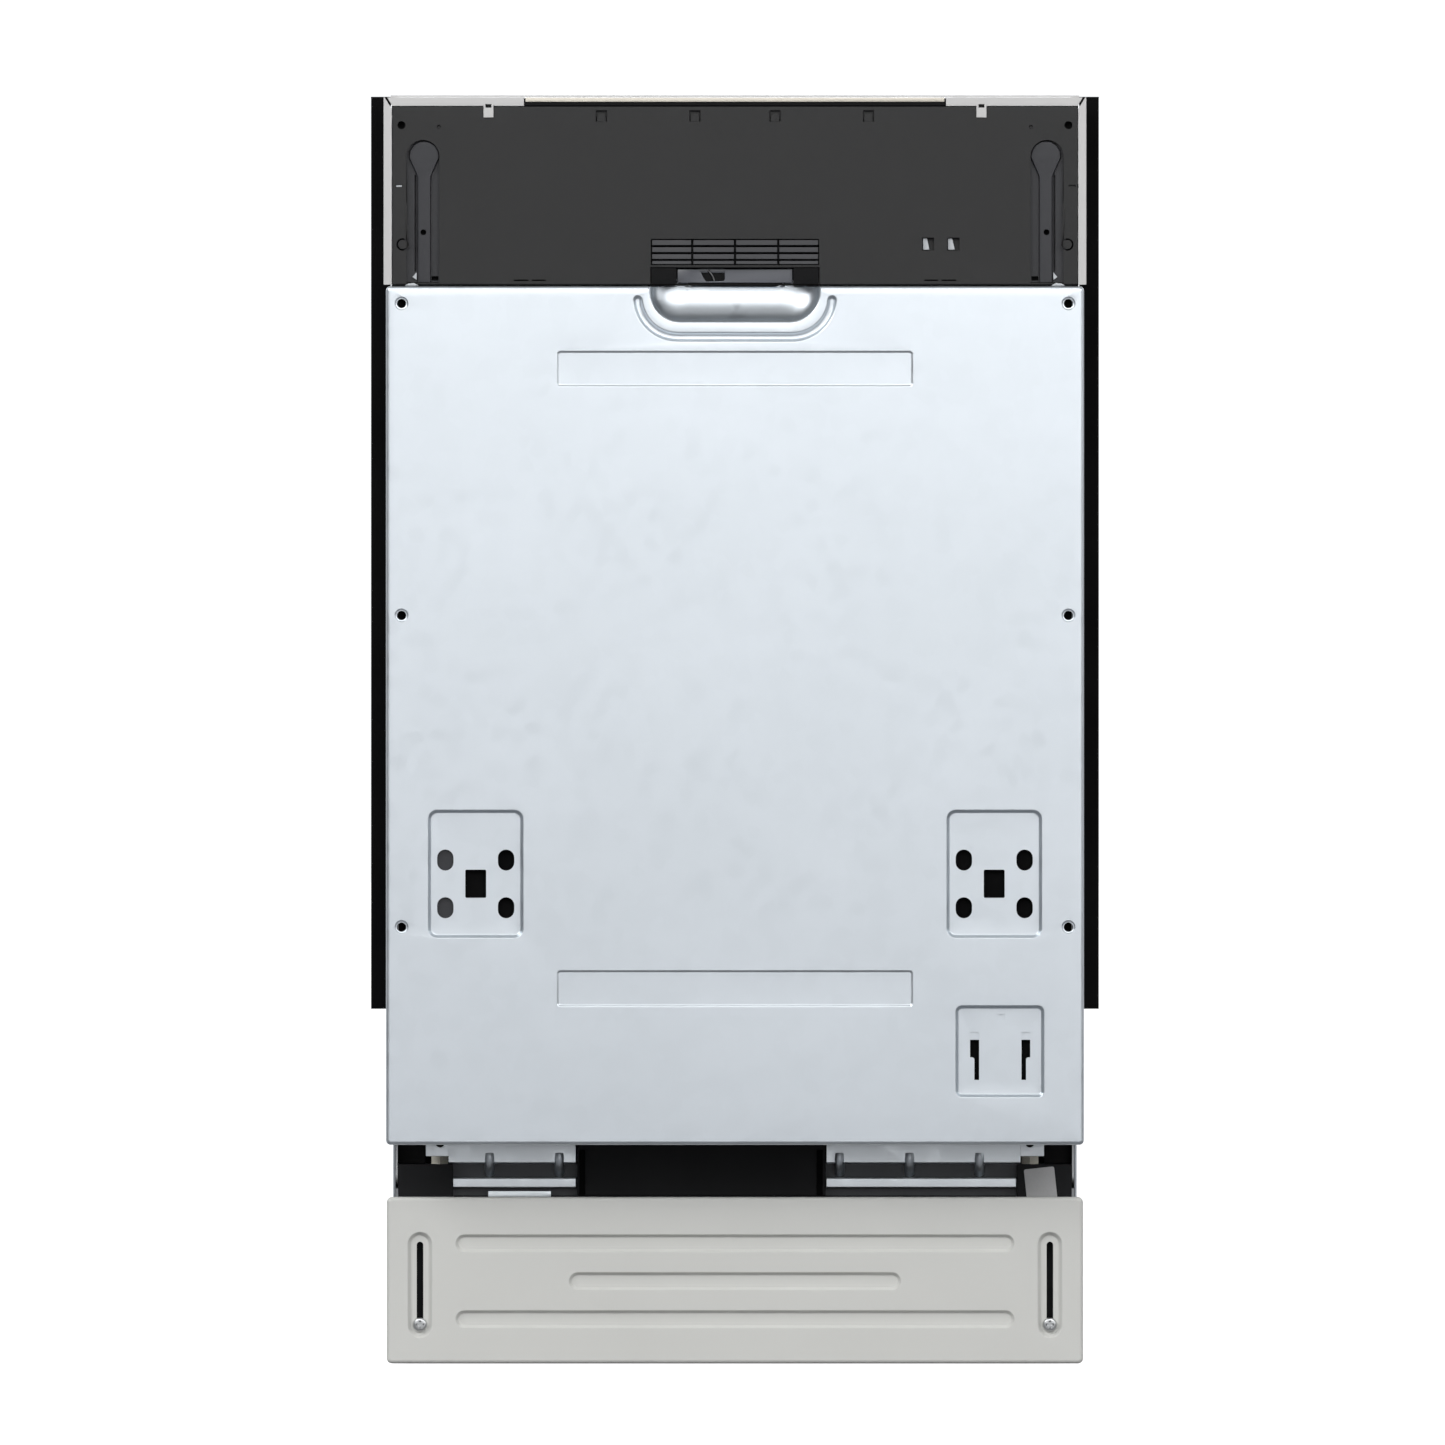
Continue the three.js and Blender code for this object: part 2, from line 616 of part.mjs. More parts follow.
// Two folded rails with raised ears, held together by a web behind the centre cover.
function frontCrossbar() {
  const rails = [
    { run: [-186, -102.7], ear: [-199, -180] },
    { run: [58.9, 181.2], ear: [180, 199] },
  ];
  const web = box([-180, 180], [-176, -175], [113.6, 140]);
  const pieces = [web];
  for (const { run, ear } of rails) {
    const inside = [Math.max(run[0], -181), Math.min(run[1], 181)];
    pieces.push(
      box([Math.min(run[0], ear[0]), Math.max(run[1], ear[1])], [-193, -175], [139, 140]),
      box(run, [-193, -192], [129.6, 140]),
      box(ear, [-193, -192], [134, 140]),
      box(inside, [-190, -175], [119, 120]),
      box(inside, [-190, -189], [113.6, 120]),
    );
  }
  return join(...pieces);
}

const baseCentreCover = () =>
  cut(
    box([-101.4, 58.4], [SWEEP_BACK, -178], [107.5, 141]),
    box([-99.4, 56.4], [SWEEP_BACK + 2, -177], [109.5, 139]),
  );

function plinth() {
  const { top, front, back } = PLINTH;
  const shell = cut(
    box([-HALF_WIDTH, HALF_WIDTH], [front, back], [0, top]),
    box([-HALF_WIDTH + SHEET, HALF_WIDTH - SHEET], [front + SHEET, back + 1], [SHEET, top - SHEET]),
  );
  const walls = [shell];
  const spaces = [];
  for (const side of [-1, 1]) {
    const x = side * SLOT.x;
    const pocket = pressedPocket(around(x, 8), [16.5, 84.6], 7.9, front, 3);
    walls.push(pocket.wall);
    spaces.push(pocket.space);
    spaces.push(slab(roundedRect(around(x, 2), [SLOT.low, SLOT.high], 1.9), "front", front, front + 6));
  }
  return cut(join(...walls), ...spaces);
}

const plinthScrew = (side) =>
  join(
    rod("y", [side * SLOT.x, 0, SLOT.screw], 4.5, PLINTH.front + 0.2, PLINTH.front + 2.7, 16),
    rod("y", [side * SLOT.x, 0, SLOT.screw], 1.7, PLINTH.front + 2, -212 - GAP, 12),
  );

part("base_tray", baseTray(), "blackPlastic");
part("front_crossbar", frontCrossbar(), "galvanised");
part("base_centre_cover", baseCentreCover(), "blackPlastic");
part("plinth", plinth(), "paintedSteel");
part("rear_foot", rearFoot(), "creamPlastic");
for (const { side, name } of SIDES) {
  part(`front_foot_${name}`, frontFoot(side), "creamPlastic");
  part(`plinth_screw_${name}`, plinthScrew(side), "steel");
}

// ---------------------------------------------------------------- water system
const FILTER_CUP = { radius: 22, low: 98, high: 165 };

function sump() {
  const { x, y } = SUMP;
  return cut(
    join(
      rod("z", [x, y, 0], 71.5, 92, 157, 32),
      rod("z", [x, y, 0], 78, 156, 158.5, 32),
    ),
    rod("z", [x, y, 0], 68, 95, 160, 32),
  ).add(rod("z", [x, POST_Y, 0], 11, 93, 183, 16));
}

function filterPlate() {
  return cut(
    rod("z", [SUMP.x, SUMP.y, 0], 88, 158.5 + GAP, 160.5, 36),
    rod("z", [0, POST_Y, 0], 12, 155, 165, 16),
    rod("z", [0, FILTER_Y, 0], FILTER_CUP.radius + 1, 155, 165, 24),
  );
}

function filterCup() {
  const { radius, low, high } = FILTER_CUP;
  return join(
    cut(
      rod("z", [0, FILTER_Y, 0], radius, low, high, 24),
      rod("z", [0, FILTER_Y, 0], radius - 2, low + 2, high + 1, 24),
    ),
    box([-radius + 1, radius - 1], around(FILTER_Y, 2), [high - 6, high + 5]),
  );
}

function waterSoftener() {
  return join(
    box([-160, -80], [-110, 60], [62, 150]),
    rod("z", [SALT.x, SALT.y, 0], 23.5, 148, 163, 24),
  );
}

const saltCap = () =>
  join(
    rod("z", [SALT.x, SALT.y, 0], 26, 163 + GAP, 169, 24),
    box(around(SALT.x, 20), around(SALT.y, 3), [168, 173]),
  );

function circulationPump() {
  return join(
    rod("x", [0, -80, 70], 38, 60, 160, 20),
    rod("x", [0, -80, 70], 26, 155, 176, 16),
    rod("y", [84, 0, 70], 15, -80, -64, 16),
  );
}

function drainPump() {
  return join(
    rod("y", [-60, 0, 62], 27, 110, 190, 20),
    rod("y", [-60, 0, 62], 10, 185, 268, 16),
  );
}

function inletValve() {
  return join(
    box([-185, -140], [205, 248], [40, 84]),
    rod("y", [-162, 0, 62], 13, 240, 270, 20),
  );
}

const airBreakTank = () => slab(roundedRect([-60, 190], [250, 620], 20), "side", -218.6, -209);

function feedPipe() {
  return join(
    rod("z", [0, 244, 0], 8, TUB.floor + GAP, 740, 12),
    box([-8, 8], [218, 245], [504, 520]),
  );
}

// A hollow blade with round ends and a hub that drops over its post.
function sprayArm({ y, low, thickness, hubLow, hubHigh, boreLow, boreHigh }) {
  const reach = 165;
  return cut(
    join(
      slab(roundedRect([-reach, reach], around(y, 17), 16.9), "top", low, low + thickness),
      rod("z", [0, y, 0], 21, hubLow, hubHigh, 24),
    ),
    rod("z", [0, y, 0], 12.5, boreLow, boreHigh, 16),
  );
}

const lowerSprayArm = () =>
  sprayArm({ y: POST_Y, low: 186, thickness: 13, hubLow: 168, hubHigh: 201, boreLow: 160, boreHigh: 185 });

const upperSprayArm = () =>
  sprayArm({ y: POST_Y, low: 512, thickness: 12, hubLow: 508, hubHigh: 538, boreLow: 524, boreHigh: 540 });

function cableGland() {
  return join(
    box([140, 190], [248, 256], [38, 84]),
    rod("y", [165, 0, 60], 11, 255, 269, 6),
    rod("y", [165, 0, 60], 7, 268, 273, 16),
  );
}

part("sump", sump(), "blackPlastic");
part("filter_plate", filterPlate(), "stainless");
part("filter_cup", filterCup(), "greyPlastic");
part("water_softener", waterSoftener(), "greyPlastic");
part("salt_cap", saltCap(), "greyPlastic");
part("circulation_pump", circulationPump(), "blackPlastic");
part("drain_pump", drainPump(), "blackPlastic");
part("inlet_valve", inletValve(), "greyPlastic");
part("air_break_tank", airBreakTank(), "greyPlastic");
part("feed_pipe", feedPipe(), "greyPlastic");
part("lower_spray_arm", lowerSprayArm(), "greyPlastic");
part("upper_spray_arm", upperSprayArm(), "greyPlastic");
part("cable_gland", cableGland(), "blackPlastic");

// ---------------------------------------------------------------- racks
// A basket of welded wires. The cross wires lie on the long ones, and the uprights stand just
// inside the rim, so that every weld is a true overlap.
const WELD = 0.7;

function wireBasket({ half, depth, floor, rim, across, along, uprightsSide, uprightsEnd }) {
  const wires = [];
  const w = WIRE / 2;
  const spread = (count, reach, i) => -reach + w + ((2 * reach - WIRE) * i) / (count - 1);
  for (let i = 0; i < along; i += 1) {
    const x = spread(along, half - WELD, i);
    wires.push(box(around(x, w), [-depth + WELD, depth - WELD], [floor, floor + WIRE]));
  }
  for (let i = 0; i < across; i += 1) {
    const y = spread(across, depth - 2 * WELD, i);
    const reach = half - 2 * WELD;
    wires.push(box([-reach, reach], around(y, w), [floor + WIRE - 1, floor + 2 * WIRE - 1]));
  }
  const upright = [floor + 1, rim - 1];
  for (const side of [-1, 1]) {
    wires.push(box(around(side * (half - w), w), [-depth, depth], [rim - WIRE, rim]));
    const end = side * (depth - w);
    wires.push(box([-half + WELD, half - WELD], around(end, w - 0.2), [rim - WIRE - WELD, rim - WELD]));
    for (let i = 0; i < uprightsSide; i += 1) {
      const y = spread(uprightsSide, depth - 3 * WELD, i);
      wires.push(box(around(side * (half - w), w - 0.4), around(y, w - 0.4), upright));
    }
    for (let i = 1; i < uprightsEnd - 1; i += 1) {
      const x = spread(uprightsEnd, half - 3 * WELD, i);
      wires.push(box(around(x, w - 0.4), around(side * (depth - w), w - 0.4), upright));
    }
  }
  return join(...wires);
}

const LOWER = { half: 176, floor: 216, rim: 338 };
const UPPER = { half: 182, floor: 548, rim: 680 };
const RAIL = { low: 594, high: 616, inner: 182 + GAP, outer: 196 };
const SHELF = { hinge: -176, z: 640, end: -92, halfDepth: 180 };

const WIRE_COUNTS = { across: 6, along: 6, uprightsSide: 5, uprightsEnd: 5 };

const lowerRack = () => wireBasket({ ...LOWER, ...WIRE_COUNTS, depth: 200 });

function upperRack() {
  const basket = wireBasket({ ...UPPER, ...WIRE_COUNTS, depth: RACK_DEPTH });
  const feed = box([-12, 12], [10, RACK_DEPTH - 3], [UPPER.floor - 1, UPPER.floor + 8]);
  const post = rod("z", [0, POST_Y, 0], 11, 526, UPPER.floor + 6, 16);
  return join(basket, feed, post);
}

// A channel, open towards the tub's wall.
function rackRail(side) {
  const wall = 3;
  const { inner, outer, low, high } = RAIL;
  return cut(
    box(span(side, inner, outer), [-RACK_DEPTH, RACK_DEPTH], [low, high]),
    box(
      span(side, inner + wall, outer + 1),
      [-RACK_DEPTH + wall, RACK_DEPTH - wall],
      [low + wall, high - wall],
    ),
  );
}

function cupShelf() {
  const { hinge, z, end, halfDepth } = SHELF;
  const bars = [
    box([hinge, hinge + WIRE], [-halfDepth, halfDepth], [z, z + WIRE]),
    box([end - WIRE, end], [-halfDepth, halfDepth], [z, z + WIRE]),
  ];
  for (const y of [-178, -60, 60, 178]) {
    bars.push(box([hinge, end], around(y, 2), [z, z + WIRE]));
  }
  return join(...bars);
}

const BASKET = { x: [98, 168], y: [-186, 24], z: [223 + GAP, 330], wall: 2, handle: 400 };

function cutleryBasket() {
  const { x, y, z, wall, handle } = BASKET;
  const length = (y[1] - y[0] - wall) / 3;
  const middle = (y[0] + y[1]) / 2;
  const cells = [0, 1, 2].map((i) =>
    box(
      [x[0] + wall, x[1] - wall],
      [y[0] + wall + i * length, y[0] + (i + 1) * length],
      [z[0] + wall, z[1] + 1],
    ),
  );
  const centre = (x[0] + x[1]) / 2;
  const outside = roundedRect(around(middle, 38), [z[1] - 40, handle], 16);
  const inside = roundedRect(around(middle, 31), [z[1] - 60, handle - 7], 12);
  const bail = cut(
    slab(outside, "side", centre - 2, centre + 2),
    slab(inside, "side", centre - 4, centre + 4),
  );
  return join(cut(box(x, y, z), ...cells), bail);
}

part("lower_rack", lowerRack(), "coatedWire");
part("upper_rack", upperRack(), "coatedWire");
part("cup_shelf", cupShelf(), "coatedWire");
part("cutlery_basket", cutleryBasket(), "greyPlastic");
for (const { side, name } of SIDES) part(`rack_rail_${name}`, rackRail(side), "steel");

export default dishwasher;
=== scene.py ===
"""Looks of the slimline built-in dishwasher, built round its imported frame.

Sizes in this script are millimetres; every mesh is written in metres. +Z is up and the door
faces -Y, as in the frame. Sheet metal is built as folded and pressed sheets, wire as swept
tubes, and the plain CAD pieces that stay get softened edges and their own material.
"""

import math

import bmesh
import bpy
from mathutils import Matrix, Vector


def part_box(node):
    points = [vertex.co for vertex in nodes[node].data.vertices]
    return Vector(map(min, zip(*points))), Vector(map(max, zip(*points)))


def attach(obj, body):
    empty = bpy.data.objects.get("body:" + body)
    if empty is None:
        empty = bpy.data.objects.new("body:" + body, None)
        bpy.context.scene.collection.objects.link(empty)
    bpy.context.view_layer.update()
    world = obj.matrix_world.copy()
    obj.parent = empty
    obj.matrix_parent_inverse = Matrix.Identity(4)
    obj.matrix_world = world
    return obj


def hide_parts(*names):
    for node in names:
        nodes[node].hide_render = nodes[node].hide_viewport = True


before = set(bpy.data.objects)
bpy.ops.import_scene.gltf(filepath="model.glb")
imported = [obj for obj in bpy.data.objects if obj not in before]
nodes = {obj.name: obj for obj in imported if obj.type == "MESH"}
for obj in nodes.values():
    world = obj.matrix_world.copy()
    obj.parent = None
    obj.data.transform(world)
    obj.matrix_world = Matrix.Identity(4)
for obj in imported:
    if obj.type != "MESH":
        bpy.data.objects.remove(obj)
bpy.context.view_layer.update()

MM = 0.001


def box_mm(node):
    """Lowest and highest corner of a CAD node, in millimetres."""
    low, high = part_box(node)
    return Vector(low) / MM, Vector(high) / MM


# ------------------------------------------------------------------ outlines
def arc(centre, radius, start, end, steps=6):
    """Points of an arc, angles in degrees, both ends included."""
    points = []
    for i in range(steps + 1):
        a = math.radians(start + (end - start) * i / steps)
        points.append((centre[0] + radius * math.cos(a), centre[1] + radius * math.sin(a)))
    return points


def rounded_rect(u, v, radius, steps=6):
    """Outline function of a rectangle with round corners; inset draws it in."""

    def loop(inset=0.0):
        u0, u1 = u[0] + inset, u[1] - inset
        v0, v1 = v[0] + inset, v[1] - inset
        r = max(radius - inset, 0.2)
        return (
            arc((u1 - r, v1 - r), r, 0, 90, steps)
            + arc((u0 + r, v1 - r), r, 90, 180, steps)
            + arc((u0 + r, v0 + r), r, 180, 270, steps)
            + arc((u1 - r, v0 + r), r, 270, 360, steps)
        )

    return loop


def four_corners(x, low, high, radius, steps):
    """Corner arcs of an outline symmetric about the middle, from the low right one round."""
    x, low, high = x - radius, low + radius, high - radius
    points = []
    for centre, start in (((x, low), 270), ((x, high), 0), ((-x, high), 90), ((-x, low), 180)):
        points += arc(centre, radius, start, start + 90, steps)
    return points


def circle(centre, radius, steps=20):
    def loop(inset=0.0):
        return arc(centre, max(radius - inset, 0.1), 0, 360 - 360 / steps, steps - 1)

    return loop


def stadium(u, v, steps=8):
    """A slot with two round ends, along its longer side."""
    return rounded_rect(u, v, min(u[1] - u[0], v[1] - v[0]) / 2 - 0.01, steps)


def band(path, half_width, steps=6):
    """Outline function of a strip of one width with round ends, along a smooth open path."""

    def loop(inset=0.0):
        half = half_width - inset
        sides = ([], [])
        for i, (u, v) in enumerate(path):
            before, after = path[max(i - 1, 0)], path[min(i + 1, len(path) - 1)]
            along = Vector((after[0] - before[0], after[1] - before[1])).normalized()
            sides[0].append((u - along.y * half, v + along.x * half))
            sides[1].append((u + along.y * half, v - along.x * half))
        ends = []
        for tip, neighbour in ((path[-1], path[-2]), (path[0], path[1])):
            heading = math.degrees(math.atan2(tip[1] - neighbour[1], tip[0] - neighbour[0]))
            ends.append(arc(tip, half, heading + 90, heading - 90, steps)[1:-1])
        return sides[0] + ends[0] + sides[1][::-1] + ends[1]

    return loop


def keyhole(centre, head, stem, low):
    """A round head on a straight stem that ends square at height low."""

    def loop(inset=0.0):
        r, half = head - inset, stem - inset
        join = math.degrees(math.asin(min(half / r, 1.0)))
        top = arc(centre, r, -90 + join, 270 - join, 24)
        return top + [(centre[0] - half, low + inset), (centre[0] + half, low + inset)]

    return loop


# ------------------------------------------------------------------ planes for sheets
# Each turns an outline point and a depth behind the face into a place, and says where it faces.
def facing_front(y):
    return lambda u, v, d: (u, y + d, v), Vector((0, -1, 0))


def facing_back(y):
    return lambda u, v, d: (u, y - d, v), Vector((0, 1, 0))


def facing_right(x):
    return lambda u, v, d: (x - d, u, v), Vector((1, 0, 0))


def facing_left(x):
    return lambda u, v, d: (x + d, u, v), Vector((-1, 0, 0))


def facing_up(z):
    return lambda u, v, d: (u, v, z - d), Vector((0, 0, 1))


def outward(side, inner, outer):
    """Span between two distances from the middle, on the right (1) or the left (-1)."""
    return (inner, outer) if side > 0 else (-outer, -inner)


def hand(side):
    """The name of a side."""
    return "right" if side > 0 else "left"


# ------------------------------------------------------------------ pressed sheets
def pressed(width, depth, steps=5):
    """Profile of a soft pressing: (inset, depth) pairs on an S curve."""
    return [
        (width * i / steps, depth * (0.5 - 0.5 * math.cos(math.pi * i / steps)))
        for i in range(steps + 1)
    ]


def moulded(depth, fillet=0.5):
    """Profile of a moulded recess: a small round edge, a steep wall and a small round foot."""
    sign = 1 if depth > 0 else -1
    return [
        (0, 0),
        (fillet * 0.5, sign * fillet * 0.15),
        (fillet * 0.9, sign * fillet * 0.6),
        (fillet, sign * fillet),
        (fillet + 0.15, depth - sign * fillet * 0.5),
        (fillet + 0.5, depth),
    ]


def quarter_round(radius, steps):
    """Profile of an outer edge from just below the face out to the side: (inset, depth) pairs."""
    angles = [math.pi / 2 * i / steps for i in range(1, steps + 1)]
    return [(radius * (1 - math.sin(a)), radius * (1 - math.cos(a))) for a in angles]


class Feature:
    """Something pressed into a sheet: an outline, its profile, and what its floor holds."""

    def __init__(self, loop, profile, features=(), holes=()):
        self.loop = loop
        self.profile = profile
        self.features = features
        self.holes = holes


class Sheet:
    """A mesh made of flat levels joined by lofted walls."""

    def __init__(self, plane):
        self.place, self.outward = plane
        self.bm = bmesh.new()

    def ring(self, loop, depth):
        return [self.bm.verts.new(Vector(self.place(u, v, depth)) * MM) for u, v in loop]

    def edges(self, ring, closed=True):
        found = []
        count = len(ring)
        for i in range(count if closed else count - 1):
            pair = (ring[i], ring[(i + 1) % count])
            found.append(self.bm.edges.get(pair) or self.bm.edges.new(pair))
        return found

    def loft(self, first, second, closed=True):
        count = len(first)
        for i in range(count if closed else count - 1):
            j = (i + 1) % count
            self.bm.faces.new((first[i], first[j], second[j], second[i]))

    def chain(self, first, rings, closed=True):
        """Lofts from the first ring through all the others, and gives the last."""
        for ring in rings:
            self.loft(first, ring, closed)
            first = ring
        return first

    def fill(self, rings):
        edges = [e for ring in rings for e in self.edges(ring)]
        bmesh.ops.triangle_fill(self.bm, use_beauty=True, edges=edges)

    def level(self, border, depth, features=(), holes=()):
        starts = [self.ring(f.loop(f.profile[0][0]), depth) for f in features]
        rings = [border, *starts, *[self.ring(hole, depth) for hole in holes]]
        self.fill(rings)
        for feature, start in zip(features, starts):
            walls = [self.ring(feature.loop(inset), depth + drop) for inset, drop in feature.profile[1:]]
            floor = depth + feature.profile[-1][1]
            self.level(self.chain(start, walls), floor, feature.features, feature.holes)

    def roll(self, border, loop, radius, depth, closed=True):
        """The rolled edge round a border, and the return behind it."""
        rings = [self.ring(loop(inset), drop) for inset, drop in quarter_round(radius, 4)]
        self.chain(border, [*rings, self.ring(loop(0), depth)], closed)

    def skirt(self, loop, radius, depth):
        """The rolled edge and the return behind a closed outline; gives the face's border."""
        border = self.ring(loop(radius), 0)
        self.roll(border, loop, radius, depth)
        return border


def orient(bm, outward):
    """Faces one way all over, with the largest flat looking outward."""
    bmesh.ops.recalc_face_normals(bm, faces=bm.faces)
    bm.normal_update()
    total = sum((f.normal * f.calc_area() for f in bm.faces), Vector())
    if total.dot(outward) < 0:
        bmesh.ops.reverse_faces(bm, faces=bm.faces)


def apply_modifiers(obj):
    graph = bpy.context.evaluated_depsgraph_get()
    mesh = bpy.data.meshes.new_from_object(obj.evaluated_get(graph))
    obj.modifiers.clear()
    obj.data = mesh


def shade(obj, angle=32):
    """Smooth over rounded edges, sharp where the surface truly turns."""
    mesh = obj.data
    mesh.polygons.foreach_set("use_smooth", [True] * len(mesh.polygons))
    mesh.set_sharp_from_angle(angle=math.radians(angle))
    normals = obj.modifiers.new("weighted", "WEIGHTED_NORMAL")
    normals.keep_sharp = True


def finish_piece(obj, look, body, replaces=(), angle=32):
    """Gives a piece its material, its shading, its body and what it stands for."""
    obj.data.materials.clear()
    obj.data.materials.append(material_of(look))
    shade(obj, angle)
    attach(obj, body)
    if replaces:
        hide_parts(*replaces)


def object_of(name, bm):
    """Puts a finished mesh into the scene."""
    mesh = bpy.data.meshes.new(name)
    bm.to_mesh(mesh)
    bm.free()
    obj = bpy.data.objects.new(name, mesh)
    bpy.context.scene.collection.objects.link(obj)
    return obj


def sheet_piece(name, sheet, thickness, look, body, replaces=()):
    """Turns a pressed sheet into a piece of real thickness behind its face."""
    bmesh.ops.remove_doubles(sheet.bm, verts=sheet.bm.verts, dist=1e-6)
    orient(sheet.bm, sheet.outward)
    thick_piece(name, sheet, thickness, look, body, replaces)


def thick_piece(name, sheet, thickness, look, body, replaces=()):
    """The same for a sheet whose faces already look the right way."""
    obj = object_of(name, sheet.bm)
    thick = obj.modifiers.new("thick", "SOLIDIFY")
    thick.thickness = thickness * MM
    thick.offset = -1
    apply_modifiers(obj)
    finish_piece(obj, look, body, replaces)


def add_bevel(obj, width):
    bevel = obj.modifiers.new("bevel", "BEVEL")
    bevel.width = width * MM
    bevel.segments = 2
    bevel.limit_method = "ANGLE"
    bevel.angle_limit = math.radians(40)


def extruded(plane, outline, depth, holes=()):
    """A solid from an outline, going back by depth."""
    sheet = Sheet(plane)
    front = sheet.ring(outline, 0)
    back = sheet.ring(outline, depth)
    sheet.loft(front, back)
    fronts, backs = [front], [back]
    for hole in holes:
        near, far = sheet.ring(hole, 0), sheet.ring(hole, depth)
        sheet.loft(near, far)
        fronts.append(near)
        backs.append(far)
    sheet.fill(fronts)
    sheet.fill(backs)
    bmesh.ops.recalc_face_normals(sheet.bm, faces=sheet.bm.faces)
    return sheet.bm


def solid_piece(name, parts, look, body, replaces=(), bevel=0.4):
    """One piece from one or more closed bmeshes."""
    whole = bmesh.new()
    for part in parts:
        mesh = bpy.data.meshes.new("part")
        part.to_mesh(mesh)
        part.free()
        whole.from_mesh(mesh)
        bpy.data.meshes.remove(mesh)
    obj = object_of(name, whole)
    if bevel:
        add_bevel(obj, bevel)
        apply_modifiers(obj)
    finish_piece(obj, look, body, replaces)


def block(u, v, w):
    """A box as a closed bmesh, from three spans."""
    outline = [(u[0], w[0]), (u[1], w[0]), (u[1], w[1]), (u[0], w[1])]
    return extruded(facing_front(v[0]), outline, v[1] - v[0])


def disc(axis, centre, radius, low, high, steps=32):
    """A cylinder as a closed bmesh; centre holds the two coordinates across the axis."""
    planes = {"x": facing_right, "y": facing_back, "z": facing_up}
    return extruded(planes[axis](high), circle(centre, radius, steps)(), high - low)


# ------------------------------------------------------------------ wires and tubes
def rounded_path(points, radius, steps=5):
    """A path of straight runs with its corners bent to a radius."""
    points = [Vector(p) for p in points]
    path = [points[0]]
    for before, corner, after in zip(points, points[1:], points[2:]):
        into = (before - corner).normalized()
        out = (after - corner).normalized()
        opening = into.angle(out)
        reach = radius / math.tan(opening / 2)
        start, end = corner + into * reach, corner + out * reach
        centre = corner + (into + out).normalized() * (radius / math.sin(opening / 2))
        for i in range(steps + 1):
            t = i / steps
            chord = start.lerp(end, t) - centre
            path.append(centre + chord.normalized() * radius)
    path.append(points[-1])
    return path


def wire_piece(name, runs, look, body, replaces=(), sides=8):
    """One piece of many swept tubes; each run is (path, radius)."""
    bm = bmesh.new()
    for path, radius in runs:
        sweep(bm, path, radius, sides)
    finish_piece(object_of(name, bm), look, body, replaces, angle=50)


def sweep(bm, path, radius, sides):
    """A capped round tube along a path, its section carried along without twisting."""
    path = [Vector(p) for p in path]
    forward = (path[1] - path[0]).normalized()
    across = forward.orthogonal().normalized()
    rings = []
    for i, point in enumerate(path):
        before, after = path[max(i - 1, 0)], path[min(i + 1, len(path) - 1)]
        heading = (after - before).normalized()
        across = (across - heading * across.dot(heading)).normalized()
        up = heading.cross(across)
        ring = []
        for k in range(sides):
            a = 2 * math.pi * k / sides
            offset = across * (radius * math.cos(a)) + up * (radius * math.sin(a))
            ring.append(bm.verts.new((point + offset) * MM))
        rings.append(ring)
    for first, second in zip(rings, rings[1:]):
        for k in range(sides):
            j = (k + 1) % sides
            bm.faces.new((first[k], first[j], second[j], second[k]))
    bm.faces.new(rings[0][::-1])
    bm.faces.new(rings[-1])


# ------------------------------------------------------------------ materials
def new_material(name):
    material = bpy.data.materials.new(name)
    material.use_nodes = True
    tree = material.node_tree
    shader = tree.nodes["Principled BSDF"]
    place = tree.nodes.new("ShaderNodeTexCoord").outputs["Object"]
    return material, tree, shader, place


def noise(tree, place, scale, detail=3.0, stretch=(1, 1, 1)):
    mapping = tree.nodes.new("ShaderNodeMapping")
    mapping.inputs["Scale"].default_value = stretch
    tree.links.new(place, mapping.inputs["Vector"])
    node = tree.nodes.new("ShaderNodeTexNoise")
    node.inputs["Scale"].default_value = scale
    node.inputs["Detail"].default_value = detail
    tree.links.new(mapping.outputs["Vector"], node.inputs["Vector"])
    return node.outputs["Fac"]


def cells(tree, place, scale):
    node = tree.nodes.new("ShaderNodeTexVoronoi")
    node.inputs["Scale"].default_value = scale
    tree.links.new(place, node.inputs["Vector"])
    grey = tree.nodes.new("ShaderNodeRGBToBW")
    tree.links.new(node.outputs["Color"], grey.inputs["Color"])
    return grey.outputs["Val"]


def ranged(tree, value, low, high, span=(0.3, 0.7)):
    node = tree.nodes.new("ShaderNodeMapRange")
    node.inputs["From Min"].default_value = span[0]
    node.inputs["From Max"].default_value = span[1]
    node.inputs["To Min"].default_value = low
    node.inputs["To Max"].default_value = high
    tree.links.new(value, node.inputs["Value"])
    return node.outputs["Result"]


def blended(tree, value, first, second):
    """Goes from one colour to another, each a constant or an output of the tree."""
    node = tree.nodes.new("ShaderNodeMix")
    node.data_type = "RGBA"
    for name, colour in (("A", first), ("B", second)):
        if isinstance(colour, tuple):
            node.inputs[name].default_value = (*colour, 1)
        else:
            tree.links.new(colour, node.inputs[name])
    tree.links.new(value, node.inputs["Factor"])
    return node.outputs["Result"]


def math_node(tree, operation, *values):
    node = tree.nodes.new("ShaderNodeMath")
    node.operation = operation
    for value, socket in zip(values, node.inputs):
        tree.links.new(value, socket)
    return node.outputs["Value"]


def summed(tree, first, second, weight):
    node = tree.nodes.new("ShaderNodeMath")
    node.operation = "MULTIPLY_ADD"
    node.inputs[1].default_value = weight
    tree.links.new(second, node.inputs[0])
    tree.links.new(first, node.inputs[2])
    return node.outputs["Value"]


